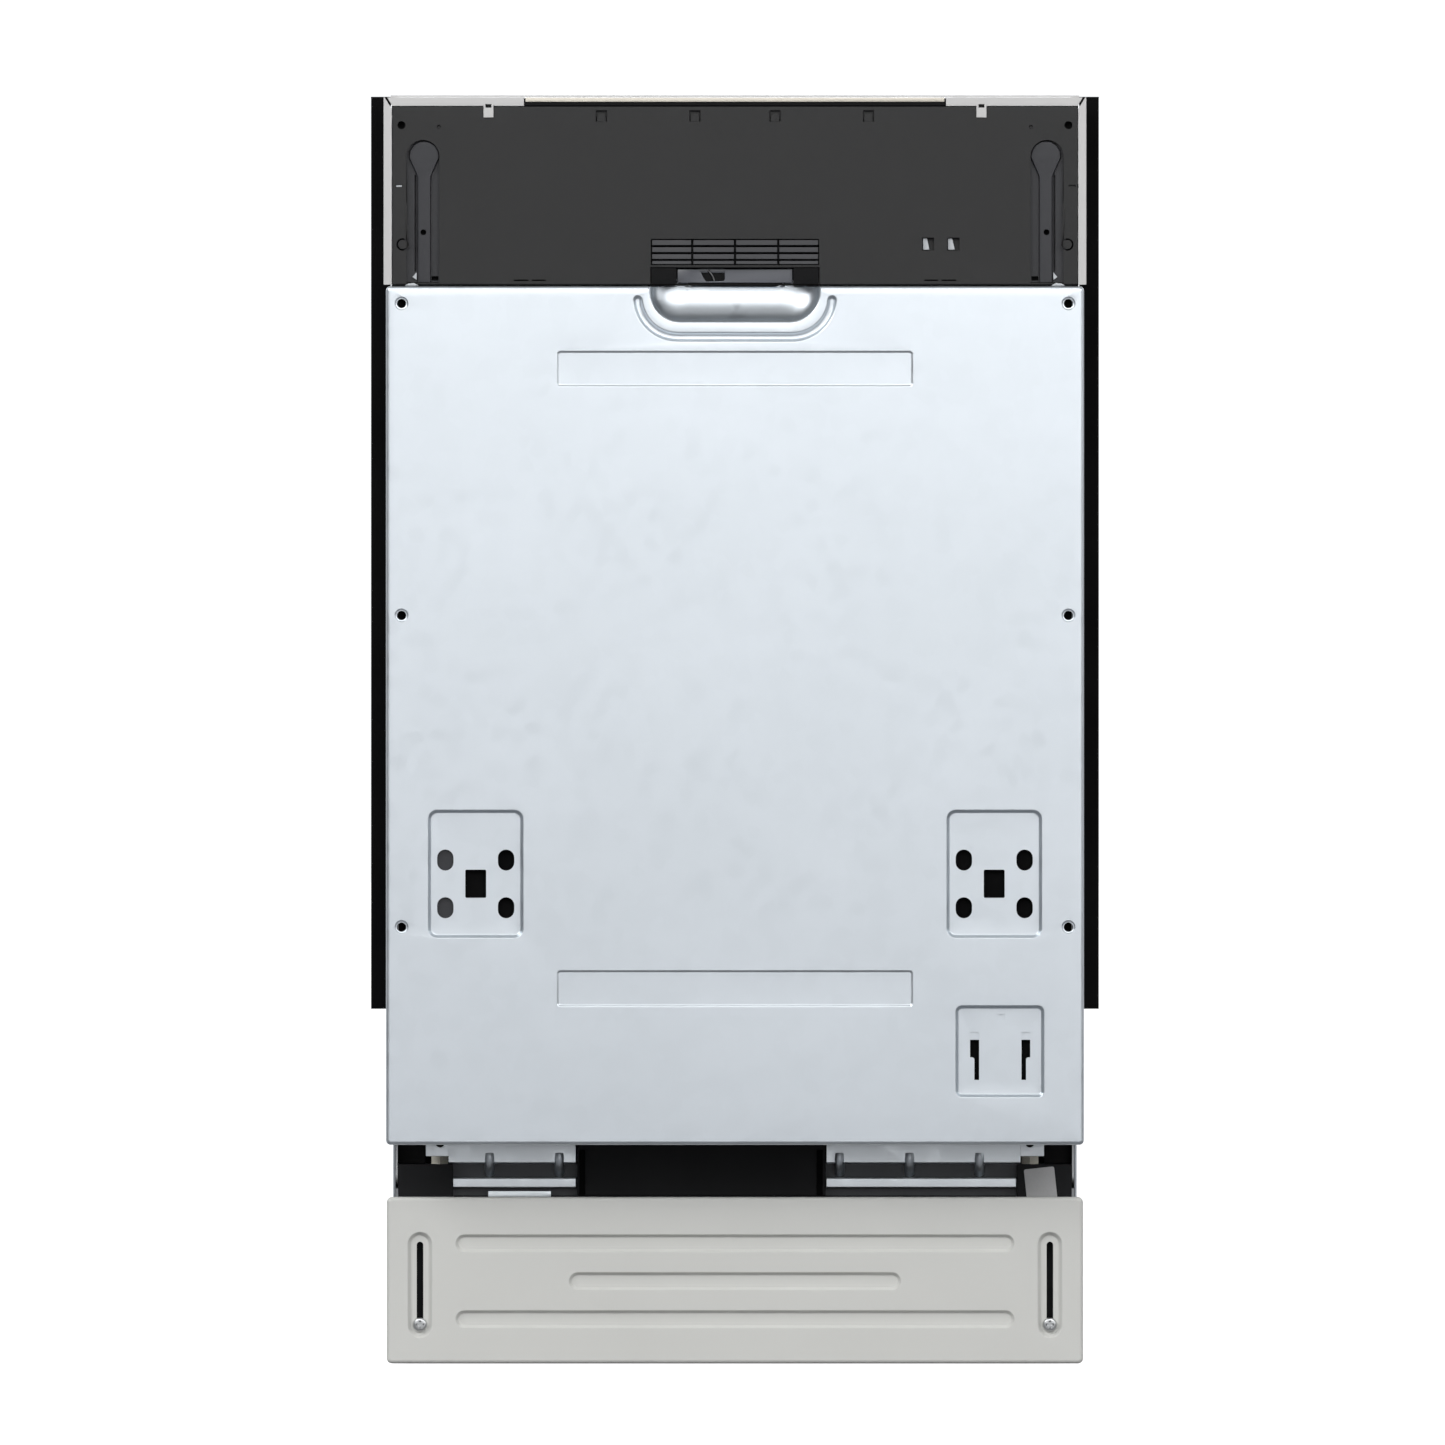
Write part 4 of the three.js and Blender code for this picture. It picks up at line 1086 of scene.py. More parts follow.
def lip_backing():
    """Dark seam behind the mitred corners."""
    depth = (CONTROL_FACE + 1.1, CONTROL_FACE + 2)
    parts = [block(outward(side, 215, HALF - 0.4), depth, (802, DOOR_TOP - 0.6)) for side in (-1, 1)]
    solid_piece("lip_backing", parts, "black_plastic", "door", bevel=0)


def strip_trim():
    """Grey trim of the control strip's front edge."""
    trim = block((-134.5, 134.5), (-273.0, -272.1), (810.6, 813.4))
    solid_piece("strip_trim", [trim], "trim", "door", bevel=0.3)


# ------------------------------------------------------------------ plinth
def plinth():
    """Painted plinth: a rolled edge, three long grooves and a slotted recess at each end."""
    low, high = box_mm("plinth")
    sheet = Sheet(facing_front(low.y))
    border = sheet.skirt(rounded_rect((-HALF, HALF), (low.z, high.z), 3.2, 4), 2.6, high.y - low.y)
    features = []
    for reach, z in ((180, 77.3), (107, 53), (180, 28.5)):
        features.append(Feature(stadium((-reach, reach), (z - 6, z + 6)), pressed(2.4, 2.8, 8)))
    for x in (-202.6, 202.6):
        slot = stadium((x - 2.1, x + 2.1), (22.5, 78.3), 4)()
        recess = stadium((x - 8.2, x + 8.2), (16.1, 85))
        features.append(Feature(recess, pressed(3.0, 3.2, 8), holes=[slot]))
    sheet.level(border, 0, features)
    sheet_piece("plinth_panel", sheet, 0.8, "plinth_paint", "plinth", ["plinth"])


def cross_screw(name, node):
    """A pan head with a cross recess, on its shank."""
    low, high = box_mm(node)
    centre = ((low.x + high.x) / 2, (low.z + high.z) / 2)
    radius = (high.x - low.x) / 2
    sheet = Sheet(facing_front(low.y))

    def round_at(inset, depth):
        return sheet.ring(circle(centre, radius - inset, 28)(), depth)

    border = round_at(1.4, 0)
    sheet.level(border, 0, [Feature(cross_outline(centre), [(0, 0), (0.2, 0.2), (0.9, 1.5)])])
    head = ((0.9, 0.15), (0.45, 0.5), (0.12, 1.0), (0.0, 1.6), (0.0, 2.3), (0.5, 2.5))
    shank = radius - 1.7
    profile = (*head, (shank, 2.5), (shank, high.y - low.y))
    sheet.fill([sheet.chain(border, [round_at(*step) for step in profile])])
    bmesh.ops.recalc_face_normals(sheet.bm, faces=sheet.bm.faces)
    finish_piece(object_of(name, sheet.bm), "fixing_steel", "cabinet", [node])


def cross_outline(centre):
    """Outline function of a cross of equal arms, scaled down by the inset."""
    arm, half = 2.7, 0.75
    quarter = [(half, half), (half, arm), (-half, arm)]
    cross = [*quarter, *[(-v, u) for u, v in quarter], *[(-u, -v) for u, v in quarter],
             *[(v, -u) for u, v in quarter]]

    def loop(inset=0.0):
        scale = 1 - inset / arm
        return [(centre[0] + u * scale, centre[1] + v * scale) for u, v in cross]

    return loop


# ------------------------------------------------------------------ opening above the plinth
RAIL_FACE, RAIL_BACK = -193, -177  # the crossbar's flange and lip stand in one plane
RAIL_RUNS = ((-184.5, -102.7), (59.1, 184))


def crossbar():
    """Two folded rails, each a tall upper flange with a lower lip under a dark recess."""
    flange = [(RAIL_BACK, 146), (RAIL_FACE, 146), (RAIL_FACE, 128.4), (RAIL_FACE + 4, 127.8)]
    lip = [(RAIL_BACK, 119), (RAIL_FACE, 119), (RAIL_FACE, 112.4), (RAIL_FACE + 4, 112.4)]
    rails = Sheet((lambda u, v, d: (d, u, v), Vector((0, -1, 0))))
    for start, end in RAIL_RUNS:
        for fold, inset in ((flange, 0), (lip, 3)):
            left, right = (start + inset, end) if start < 0 else (start, end - inset)
            bent = [(p.y, p.z) for p in rounded_path([(0, *point) for point in fold], 0.9, 3)]
            rails.loft(rails.ring(bent, left), rails.ring(bent, right), closed=False)
    replaced = ["front_crossbar"]
    # The rails take the lighter zinc copy, painted light for the shaded opening under the door.
    sheet_piece("crossbar_rails", rails, 1.0, "zinc_painted_light", "cabinet", replaced)


def crossbar_ribs():
    """Short stiffening ribs pressed where the flange turns in."""
    ribs = []
    for x in (-158.1, -113.2, 67.3, 112.5, 157.5):
        bend = ((-191.0, 134.4), (-191.8, 130.5), (-190.2, 125.6), (-186.5, 122))
        ribs.append(([(x, y, z) for y, z in bend], 3.4))
    wire_piece("crossbar_ribs", ribs, "galvanised", "cabinet", sides=14)


def base_shade_and_highlights():
    """Painted shade and highlight: a grey plate for the shaded recess behind the crossbar, black plates for
    the shade in the base that close the view into it, and strips for the light caught on the centre box's
    chamfered corner edges.
    """
    # Painted shade: a grey plate standing in for the shaded recess between the crossbar's flange and lip.
    recess_shades = [block(run, (-187, -186), (104, 129.5)) for run in ((-182, -101), (57.6, 182))]
    solid_piece("crossbar_recess_shade", recess_shades, "recess_painted_shade", "cabinet", bevel=0.2)
    # Painted shade: black plates standing in for the shade inside the base, where they close the view into
    # it.
    shade_plates = [block((-181, 181), (-196, -175), (105.5, 107.4))]
    for side in (-1, 1):
        shade_plates.append(block(outward(side, 199.6, 217.2), (-184.5, -176), (127.9, 146)))
        shade_plates.append(block(outward(side, 182, 217.2), (-169, -167), (127.9, 146)))
    solid_piece("base_shade_plates", shade_plates, "black_plastic", "cabinet", bevel=0.3)
    # Painted highlight: strips standing in for the light caught by the centre box's chamfered corner edges.
    corners = ((-100.2, -96.4), (52.6, 56.6))
    highlight_strips = [block(span, (-199.2, -197.9), (108, 137)) for span in corners]
    solid_piece("cover_edge_highlights", highlight_strips, "rubber", "cabinet", bevel=0.5)


def crossbar_ears():
    """The rails' outer ends, raised over the feet, and the small bracket under the left rail."""
    inner, outer, low, top = 184, 199.2, 132.8, 146
    ear = [(inner, low), (outer - 0.3, low), (outer, low + 0.2), (outer, top), (inner, top)]
    parts = []
    for side in (-1, 1):
        placed = [(side * x, z) for x, z in ear]
        hole = circle((side * 190, 141.6), 3.0, 18)()
        parts.append(extruded(facing_front(RAIL_FACE), placed, 1.0, [hole]))
        parts.append(block(outward(side, 184.5, 199), (RAIL_FACE, -176), (145, top)))
    bracket = (-159, -118.5)
    parts.append(block(bracket, (-197, -193.5), (106.6, 109.8)))
    parts.append(block(bracket, (-194.3, -193.2), (106.6, 110.4)))
    # The ears take the lighter zinc copy too, painted light for the shaded opening under the door.
    solid_piece("crossbar_ears", parts, "zinc_painted_light", "cabinet", bevel=0.3)


def tower_label():
    """Blank label on the right foot tower, slightly askew."""
    centre, half_w, half_h, tilt = Vector((197.0, 114.2)), 9.8, 11.2, math.radians(6)
    corners = rounded_rect((-half_w, half_w), (-half_h, half_h), 1.2, 4)()
    cos, sin = math.cos(tilt), math.sin(tilt)
    outline = [(centre.x + u * cos - v * sin, centre.y + u * sin + v * cos) for u, v in corners]
    label = extruded(facing_front(-197.4), outline, 0.3)
    solid_piece("blank_label", [label], "label", "cabinet", bevel=0)


# ------------------------------------------------------------------ cabinet sheets
SIDE_SCREWS = ((-185, 780), (-185, 480), (-185, 240), (250, 780), (250, 480), (250, 90), (-180, 120))
TUB = {
    "half": 202, "floor": 175.5, "top": 799, "front": -216.6, "back": 254, "corner": 28, "bend": 16,
}


def side_sheet(side):
    """Side panel with its rolled edges, raised fields and vent slots."""
    name = hand(side)
    low, high = box_mm(f"side_panel_{name}")
    r, notch_y, notch_z, turn = 1.2, -198, 158, 7
    y0, y1, z0, z1 = low.y, high.y, low.z, high.z
    edge = [(notch_y, z0), (y1, z0), (y1, z1), (y0, z1), (y0, notch_z), (notch_y, notch_z)]
    inward = ((1, 1), (-1, 1), (-1, -1), (1, -1), (1, 1), (1, 1))
    border = [(y + r * a, z + r * b) for (y, z), (a, b) in zip(edge, inward)]
    middle = [((u + s) / 2, (v + t) / 2) for (u, v), (s, t) in zip(border, edge)]
    sheet = Sheet(facing_right(high.x) if side > 0 else facing_left(low.x))
    face = sheet.ring(border, 0)
    fields = [
        Feature(rounded_rect((-160, 235), (560, 770), 26, 8), pressed(7, -1.8, 6)),
        Feature(rounded_rect((-160, 235), (300, 520), 26, 8), pressed(7, -1.8, 6)),
        Feature(rounded_rect((-160, 100), (190, 262), 18, 8), pressed(6, -1.8, 6)),
        Feature(stadium((-150, 100), (60, 72)), pressed(4, -1.6)),
        Feature(stadium((-150, 100), (92, 104)), pressed(4, -1.6)),
    ]
    holes = [stadium((140, 215), (z, z + 4), 4)() for z in range(150, 246, 16)]
    holes += [circle(place, 2.4, 12)() for place in SIDE_SCREWS]
    sheet.level(face, 0, fields, holes)
    outermost = sheet.chain(face, [sheet.ring(middle, r * 0.25), sheet.ring(edge, r)])
    returned = slice(0, 5)
    sheet.loft(outermost[returned], sheet.ring(edge[returned], turn), closed=False)
    replaced = [f"side_panel_{name}"]
    sheet_piece(f"side_sheet_{name}", sheet, 0.8, "galvanised", "cabinet", replaced)


def back_sheet():
    """Back panel: a large field above, three upright beads and a low field, all pressed inward."""
    low, high = box_mm("back_panel")
    sheet = Sheet(facing_back(high.y))
    outline = rounded_rect((low.x, high.x), (low.z, high.z), 4, 4)
    border = sheet.skirt(outline, 2, high.y - low.y)
    fields = [Feature(rounded_rect((-185, 185), (470, 770), 30, 8), pressed(9, 4, 6))]
    for x in (-120, 0, 120):
        fields.append(Feature(stadium((x - 8, x + 8), (240, 430)), pressed(5, 3)))
    fields.append(Feature(rounded_rect((-150, 150), (135, 200), 14), pressed(6, 3)))
    holes = [circle((x, z), 2.4, 12)() for x in (-205, 205) for z in (125, 330, 560, 795)]
    sheet.level(border, 0, fields, holes)
    sheet_piece("back_sheet", sheet, 0.8, "galvanised", "cabinet", ["back_panel"])


def tub_section(inset):
    """The tub seen from the front, drawn in by inset, from its right floor corner round."""
    r = TUB["corner"] - inset * 0.5
    return four_corners(TUB["half"] - inset, TUB["floor"] + inset, TUB["top"] - inset, r, 8)


def tub_shell():
    """Deep drawn tub: round corners, a sunk floor pan, beads in the back and a front flange."""
    bend, depth = TUB["bend"], TUB["back"] - TUB["front"]
    sheet = Sheet(facing_front(TUB["front"]))
    mouth = sheet.ring(tub_section(0), 3)
    rear = sheet.ring(tub_section(0), depth - bend)
    sheet.loft(mouth, rear, closed=False)
    angles = [math.pi / 2 * i / 6 for i in range(1, 7)]
    turns = [(bend * (1 - math.cos(a)), depth - bend + bend * math.sin(a)) for a in angles]
    back = sheet.chain(rear, [sheet.ring(tub_section(inset), place) for inset, place in turns])
    beads = [Feature(stadium((x - 9, x + 9), (260, 740)), pressed(5, -3)) for x in (-110, 110)]
    beads.append(Feature(circle((0, 512), 20, 32), pressed(4, -2)))
    sheet.level(back, depth, beads)

    flare = [sheet.ring(tub_section(-1.2), 0.9), sheet.ring(tub_section(-3), 0)]
    lip = sheet.chain(mouth, flare)
    sheet.fill([sheet.ring(rounded_rect((-217, 217), (160, 813.5), 3, 3)(), 0), lip])
    floor_pan(sheet)

    bmesh.ops.remove_doubles(sheet.bm, verts=sheet.bm.verts, dist=1e-5)
    bmesh.ops.recalc_face_normals(sheet.bm, faces=sheet.bm.faces)
    flange = min(sheet.bm.faces, key=lambda face: face.calc_center_median().y)
    if flange.normal.y > 0:
        bmesh.ops.reverse_faces(sheet.bm, faces=sheet.bm.faces)
    thick_piece("tub_shell", sheet, 0.7, "stainless", "cabinet", ["tub"])


def floor_pan(sheet):
    """The tub's floor with its sunk pan, and holes over the sump and the salt container."""
    sheet.place, _ = facing_up(TUB["floor"])
    x = TUB["half"] - TUB["corner"]
    y0, y1 = TUB["front"] + 3, TUB["back"] - TUB["bend"]
    border = sheet.ring([(x, y0), (x, y1), (-x, y1), (-x, y0)], 0)
    holes = [circle((0, 7), 72, 40)(), circle((-108, -60), 24, 24)()]
    outline = rounded_rect((-149, 149), (-184, 214), 40, 8)
    sheet.level(border, 0, [Feature(outline, pressed(20, 20, 8), holes=holes)])


def felt_mat():
    """The sound mat over the tub, its two upper corners rounded."""
    low, high = box_mm("top_felt")
    half, top, r = 203.4, 800.4, 14
    left = arc((low.x + r, high.z - r), r, 180, 90, 6)
    right = arc((high.x - r, high.z - r), r, 90, 0, 6)
    outer = [(low.x, low.z), *left, *right, (high.x, low.z)]
    inner = [(half, low.z), (half, top), (-half, top), (-half, low.z)]
    mat = extruded(facing_front(low.y), outer + inner, high.y - low.y)
    solid_piece("felt_mat", [mat], "felt", "cabinet", ["top_felt"], bevel=1.2)


def strip_profile(side):
    """Black side strip: a flap with a bead at its free edge and its clip along the panel."""
    name = hand(side)
    low, high = box_mm(f"side_strip_{name}")
    inner, outer, cap = 220.5, 234.25, 1.3
    outline = [
        (inner, -217),
        (outer - 2.2, -217),
        (outer - 0.8, -216.8),
        (outer, -216),
        (outer - 0.3, -214.6),
        (outer - 1.6, -214.2),
        (outer - 2.8, -215),
        (inner + 4, -215.4),
        (inner + 2, -213),
        (inner + 1.8, -191),
        (inner + 1.2, -190),
        (inner, -190),
    ]
    placed = [(side * x, y) for x, y in outline]
    flap = extruded(facing_up(high.z - cap), placed, high.z - cap - low.z)
    lid = block(outward(side, 208.6, outer), (-217, -190), (high.z - 1.2, high.z))
    replaced = [f"side_strip_{name}"]
    solid_piece(f"strip_{name}", [flap, lid], "rubber", "cabinet", replaced, 0.25)


# ------------------------------------------------------------------ racks
WIRE_RADIUS = 1.6
WIRE_PITCH = 34


def basket_runs(low, high, rim_radius=2.3):
    """U wires both ways, a heavy rim, a middle rail and corner posts."""
    r = WIRE_RADIUS
    x0, x1, y0, y1 = low.x + r, high.x - r, low.y + r, high.y - r
    floor, rim = low.z + r, high.z - rim_radius
    runs = []
    count_x = round((x1 - x0) / WIRE_PITCH)
    for i in range(1, count_x):
        x = x0 + (x1 - x0) * i / count_x
        path = [(x, y0, rim), (x, y0, floor), (x, y1, floor), (x, y1, rim)]
        runs.append((rounded_path(path, 14), r))
    count_y = round((y1 - y0) / WIRE_PITCH)
    for i in range(1, count_y):
        y = y0 + (y1 - y0) * i / count_y
        lifted = floor + 2 * r * 0.9
        path = [(x0, y, rim), (x0, y, lifted), (x1, y, lifted), (x1, y, rim)]
        runs.append((rounded_path(path, 14), r))
    for z, radius, inset in ((rim, rim_radius, rim_radius - r), ((floor + rim) / 2, r, 2 * r)):
        runs.append((closed_rectangle(x0 + inset, x1 - inset, y0 + inset, y1 - inset, z, 22), radius))
    return runs


def closed_rectangle(x0, x1, y0, y1, z, corner):
    """Path of a wire frame with round corners, closed in the middle of its front side."""
    middle = (x0 + x1) / 2
    points = [(middle, y0, z), (x1, y0, z), (x1, y1, z), (x0, y1, z), (x0, y0, z), (middle, y0, z)]
    return rounded_path(points, corner, 6)


def tine_row(x0, x1, y, floor, height, pitch):
    """A row of upright hoops on a carrying wire."""
    runs = [([(x0, y, floor + 5), (x1, y, floor + 5)], 1.5)]
    count = int((x1 - x0) / pitch)
    for i in range(count + 1):
        x = x0 + i * pitch
        runs.append(([(x, y, floor + 2), (x, y - 2, floor + height * 0.5), (x, y - 6, floor + height)], 1.5))
    return runs


def lower_rack():
    """The lower basket with five rows of tines, and its wheels."""
    low, high = box_mm("lower_rack")
    runs = basket_runs(low, high)
    for y in (-130, -60, 10, 80, 150):
        runs += tine_row(-160, 84, y, low.z, 74, 24)
    wire_piece("lower_rack_wire", runs, "coated_wire", "lower_rack", ["lower_rack"])
    wheels = []
    for start, middle in ((-180, -170), (175, 170)):
        for y in (-130, 130):
            wheels.append(disc("x", (y, 193.5), 17.5, start - 2, start + 7, 36))
            wheels.append(disc("x", (y, 193.5), 6, start - 5, start + 9, 20))
            bracket = [(y - 12, 222), (y + 12, 222), (y + 5, 190), (y - 5, 190)]
            wheels.append(extruded(facing_left(middle - 1.5), bracket, 3))
    solid_piece("lower_rack_wheels", wheels, "grey_plastic", "lower_rack", bevel=0.8)


def upper_rack():
    """The upper basket with four rows of tines, and the pipe that feeds its spray arm."""
    low, high = box_mm("upper_rack")
    floor = Vector((low.x, low.y, 548))
    runs = basket_runs(floor, high, 2.2)
    for y in (-150, -75, 75, 150):
        runs += tine_row(20, 160, y, floor.z, 52, 20)
    wire_piece("upper_rack_wire", runs, "coated_wire", "upper_rack", ["upper_rack"])
    feed = bmesh.new()
    path = rounded_path([(0, 204, 543), (0, 22, 543), (0, 22, 527)], 9, 6)
    sweep(feed, path, 7, 20)
    collar = disc("z", (0, 22), 11, 526, 537, 28)
    solid_piece("upper_feed", [feed, collar], "grey_plastic", "upper_rack", bevel=0)


def handle_bar(node):
    """A moulded grip along a rack's front rim."""
    low, high = box_mm(node)
    half = 60
    outline = rounded_rect((-half, half), (high.z - 20, high.z), 7, 5)()
    hole = rounded_rect((-half + 9, half - 9), (high.z - 15, high.z - 5), 4, 4)()
    bar = extruded(facing_front(low.y + 0.1), outline, 5, [hole])
    solid_piece(f"{node}_grip", [bar], "grey_plastic", node, bevel=0.9)


def cup_shelf():
    """A wire frame with eleven cross wires."""
    low, high = box_mm("cup_shelf")
    r, z, gaps = 1.6, (low.z + high.z) / 2, 12
    runs = [(closed_rectangle(low.x + r, high.x - r, low.y + r, high.y - r, z, 10), r)]
    for i in range(1, gaps):
        y = low.y + (high.y - low.y) * i / gaps
        runs.append(([(low.x + r, y, z), (high.x - r, y, z)], 1.4))
    wire_piece("cup_shelf_wire", runs, "coated_wire", "cup_shelf", ["cup_shelf"])


def lattice(u, v, margin, columns, rows, bar):
    """Slots of a moulded lattice wall."""
    slots = []
    width = (u[1] - u[0] - 2 * margin + bar) / columns
    height = (v[1] - v[0] - 2 * margin + bar) / rows
    for i in range(columns):
        for j in range(rows):
            left = u[0] + margin + i * width
            base = v[0] + margin + j * height
            slots.append(rounded_rect((left, left + width - bar), (base, base + height - bar), 1.2, 2)())
    return slots


def cutlery_basket():
    """Four lattice walls, a slotted floor and two dividers."""
    low, high = box_mm("cutlery_basket")
    top, wall, bar = 330.0, 2.0, 3.5
    x_span, y_span, z_span = (low.x, high.x), (low.y, high.y), (low.z, top)
    parts = []
    for y in (low.y, high.y - wall):
        slots = lattice(x_span, z_span, 8, 4, 6, bar)
        parts.append(extruded(facing_front(y), rounded_rect(x_span, z_span, 1, 2)(), wall, slots))
    for x in (low.x + wall, high.x):
        slots = lattice(y_span, z_span, 8, 12, 6, bar)
        parts.append(extruded(facing_right(x), rounded_rect(y_span, z_span, 1, 2)(), wall, slots))
    slots = lattice(x_span, y_span, 7, 6, 16, 3)
    outline = rounded_rect(x_span, y_span, 1, 2)()
    parts.append(extruded(facing_up(low.z + wall), outline, wall, slots))
    third = (high.y - low.y - wall) / 3
    for y in (low.y + third, low.y + 2 * third):
        parts.append(block((low.x + 1, high.x - 1), (y, y + wall), (low.z + 1, top - 2)))
    body = "cutlery_basket"
    solid_piece("cutlery_lattice", parts, "grey_plastic", body, ["cutlery_basket"], 0.35)


def cutlery_handle():
    """The basket's flat arched handle on two legs."""
    low, high = box_mm("cutlery_basket")
    middle, x = (low.y + high.y) / 2, (low.x + high.x) / 2
    reach, rise, thick = 38, 16, 4
    spring = high.z - rise
    parts = []
    for side in (-1, 1):
        y = middle + side * 34.6
        parts.append(block((x - 2, x + 2), (y - 3.4, y + 3.4), (296, high.z - 14)))
    round_bow = arc((middle, spring), reach, 0, 180, 14)
    bow = [(u, spring + (v - spring) * rise / reach) for u, v in round_bow]
    under = [(middle + (u - middle) * 0.82, v - 7) for u, v in bow]
    parts.append(extruded(facing_left(x - 2), bow + under[::-1], thick))
    solid_piece("cutlery_handle", parts, "grey_plastic", "cutlery_basket", bevel=0.8)


# ------------------------------------------------------------------ water system
def blade_outline(reach, y):
    """Outline function of a spray arm from above: round tips, widest at the hub."""
    tip, half, waist = 15, 17, 20
    steps = [math.radians(-90 + 180 * i / 32) for i in range(33)]
    right = [(reach - tip + tip * math.cos(a), y + tip * math.sin(a)) for a in steps]
    left = [(-u, 2 * y - v) for u, v in right]
    ahead, behind = [(waist, y + half), (-waist, y + half)], [(-waist, y - half), (waist, y - half)]
    points = [*right, *ahead, *left, *behind]

    def loop(inset=0.0):
        return [(u * (1 - inset / reach), y + (v - y) * (1 - inset / half)) for u, v in points]

    return loop


def spray_arm(node, blade_low, blade_high):
    """A moulded blade with eight nozzles, on its hub."""
    low, high = box_mm(node)
    y, thick = (low.y + high.y) / 2, blade_high - blade_low
    outline = blade_outline(high.x, y)
    sheet = Sheet(facing_up(blade_high))
    border = sheet.ring(outline(4), 0)
    nozzles = []
    for x in (-140, -105, -70, -38, 45, 80, 115, 150):
        centre = (x * 0.97, y + math.copysign(4, x))
        profile = [(0, 0), (0.5, -0.8), (1.6, -1.0), (1.9, 1.5)]
        nozzles.append(Feature(circle(centre, 3.2, 14), profile))
    sheet.level(border, 0, nozzles)
    upper = ((2.2, 0.5), (0.8, 1.8), (0, 4))
    lower = ((0, thick - 3), (1.2, thick - 0.8), (3.5, thick))
    walls = [sheet.ring(outline(inset), depth) for inset, depth in upper + lower]
    sheet.fill([sheet.chain(border, walls)])
    hub = disc("z", (0, y), 20.5, low.z, high.z, 36)
    bmesh.ops.recalc_face_normals(sheet.bm, faces=sheet.bm.faces)
    solid_piece(f"{node}_blade", [sheet.bm, hub], "grey_plastic", node, [node], bevel=0)


def filter_mesh():
    """Stainless filter disc with rings of fine holes."""
    low, high = box_mm("filter_plate")
    centre, cup = ((low.x + high.x) / 2, (low.y + high.y) / 2), (0, -34)
    holes = [circle((0, 22), 12, 24)(), circle(cup, 23, 32)()]
    for radius in range(52, 87, 7):
        count = int(2 * math.pi * radius / 8)
        for i in range(count):
            a = 2 * math.pi * i / count
            point = (centre[0] + radius * math.cos(a), centre[1] + radius * math.sin(a))
            if math.dist(point, cup) > 28:
                holes.append(circle(point, 1.7, 8)())
    sheet = Sheet(facing_up(high.z))
    border = sheet.ring(circle(centre, 86, 48)(), 0)
    sheet.level(border, 0, (), holes)
    sheet.loft(border, sheet.ring(circle(centre, 88, 48)(), 0.9))
    sheet_piece("filter_mesh", sheet, 0.6, "stainless", "cabinet", ["filter_plate"])


def tub_rollers():
    """Rollers on the tub walls that carry the upper rack's rails."""
    parts = []
    for side in (-1, 1):
        for y in (-201, -176):
            parts.append(disc("x", (y, 605), 7.6, *outward(side, 190, 201.5), 28))
            parts.append(disc("x", (y, 605), 10, *outward(side, 198, 201.8), 28))
    solid_piece("tub_rollers", parts, "grey_plastic", "cabinet", bevel=0.6)


# ------------------------------------------------------------------ CAD pieces that stay
KEPT = {
    "galvanised": ["worktop_bracket_left", "worktop_bracket_right"],
    "black_plastic": [
        "control_strip", "door_latch", "sump", "circulation_pump", "drain_pump", "cable_gland",
        "dispenser_catch", "rinse_aid_cap",
    ],
    "base_plastic": ["base_tray", "base_centre_cover"],
    "gloss_plastic": ["display_window"],
    "grey_plastic": [
        "button_power", "button_program", "button_half_load", "button_delay", "button_start",
        "dispenser_body", "dispenser_lid", "filter_cup", "water_softener", "salt_cap",
        "inlet_valve", "air_break_tank", "feed_pipe",
    ],
    "cream_plastic": ["front_foot_left", "front_foot_right", "rear_foot"],
    "rubber": ["door_gasket", "bottom_seal"],
    "fixing_steel": [
        "hinge_arm_left", "hinge_arm_right", "hinge_plate_left", "hinge_plate_right",
        "latch_keeper", "rack_rail_left", "rack_rail_right",
    ],
}
THIN_EDGE = 0.5
SOFT_EDGES = {
    "worktop_bracket_left": 0.3, "worktop_bracket_right": 0.3, "door_gasket": 0.9, "bottom_seal": 0.9,
}


def keep_cad_pieces():
    """The CAD pieces that need no rebuilding get soft edges and their material."""
    for look, names in KEPT.items():
        for name in names:
            obj = nodes[name]
            obj.data.materials.clear()
            obj.data.materials.append(material_of(look))
            weld = obj.modifiers.new("weld", "WELD")
            weld.merge_threshold = 1e-5
            add_bevel(obj, SOFT_EDGES.get(name, THIN_EDGE))
            normals = obj.modifiers.new("weighted", "WEIGHTED_NORMAL")
            normals.keep_sharp = False


# ------------------------------------------------------------------ studio
SENSOR = 36
CAMERA_DISTANCE = 20.0
FRAME_WIDTH = 0.9273  # what the picture spans at the door's face
CAMERA_X, CAMERA_HEIGHT = -0.008, 0.4123


def camera():
    """Square on to the door, so far back that nothing behind the door plane looks smaller."""
    data = bpy.data.cameras.new("camera")
    data.sensor_width = SENSOR
    data.lens = SENSOR * CAMERA_DISTANCE / FRAME_WIDTH
    data.clip_end = 200
    obj = bpy.data.objects.new("camera", data)
    obj.location = (CAMERA_X, FRONT * MM - CAMERA_DISTANCE, CAMERA_HEIGHT)
    obj.rotation_euler = (math.pi / 2, 0, 0)
    bpy.context.scene.collection.objects.link(obj)
    bpy.context.scene.camera = obj


def area_light(name, location, target, size, radiance):
    """A softbox; radiance is how bright its face is, white being 1."""
    data = bpy.data.lights.new(name, "AREA")
    data.shape = "RECTANGLE"
    data.size, data.size_y = size
    data.energy = radiance * math.pi * size[0] * size[1]
    obj = bpy.data.objects.new(name, data)
    obj.location = location
    direction = Vector(target) - Vector(location)
    obj.rotation_euler = direction.to_track_quat("-Z", "Y").to_euler()
    bpy.context.scene.collection.objects.link(obj)


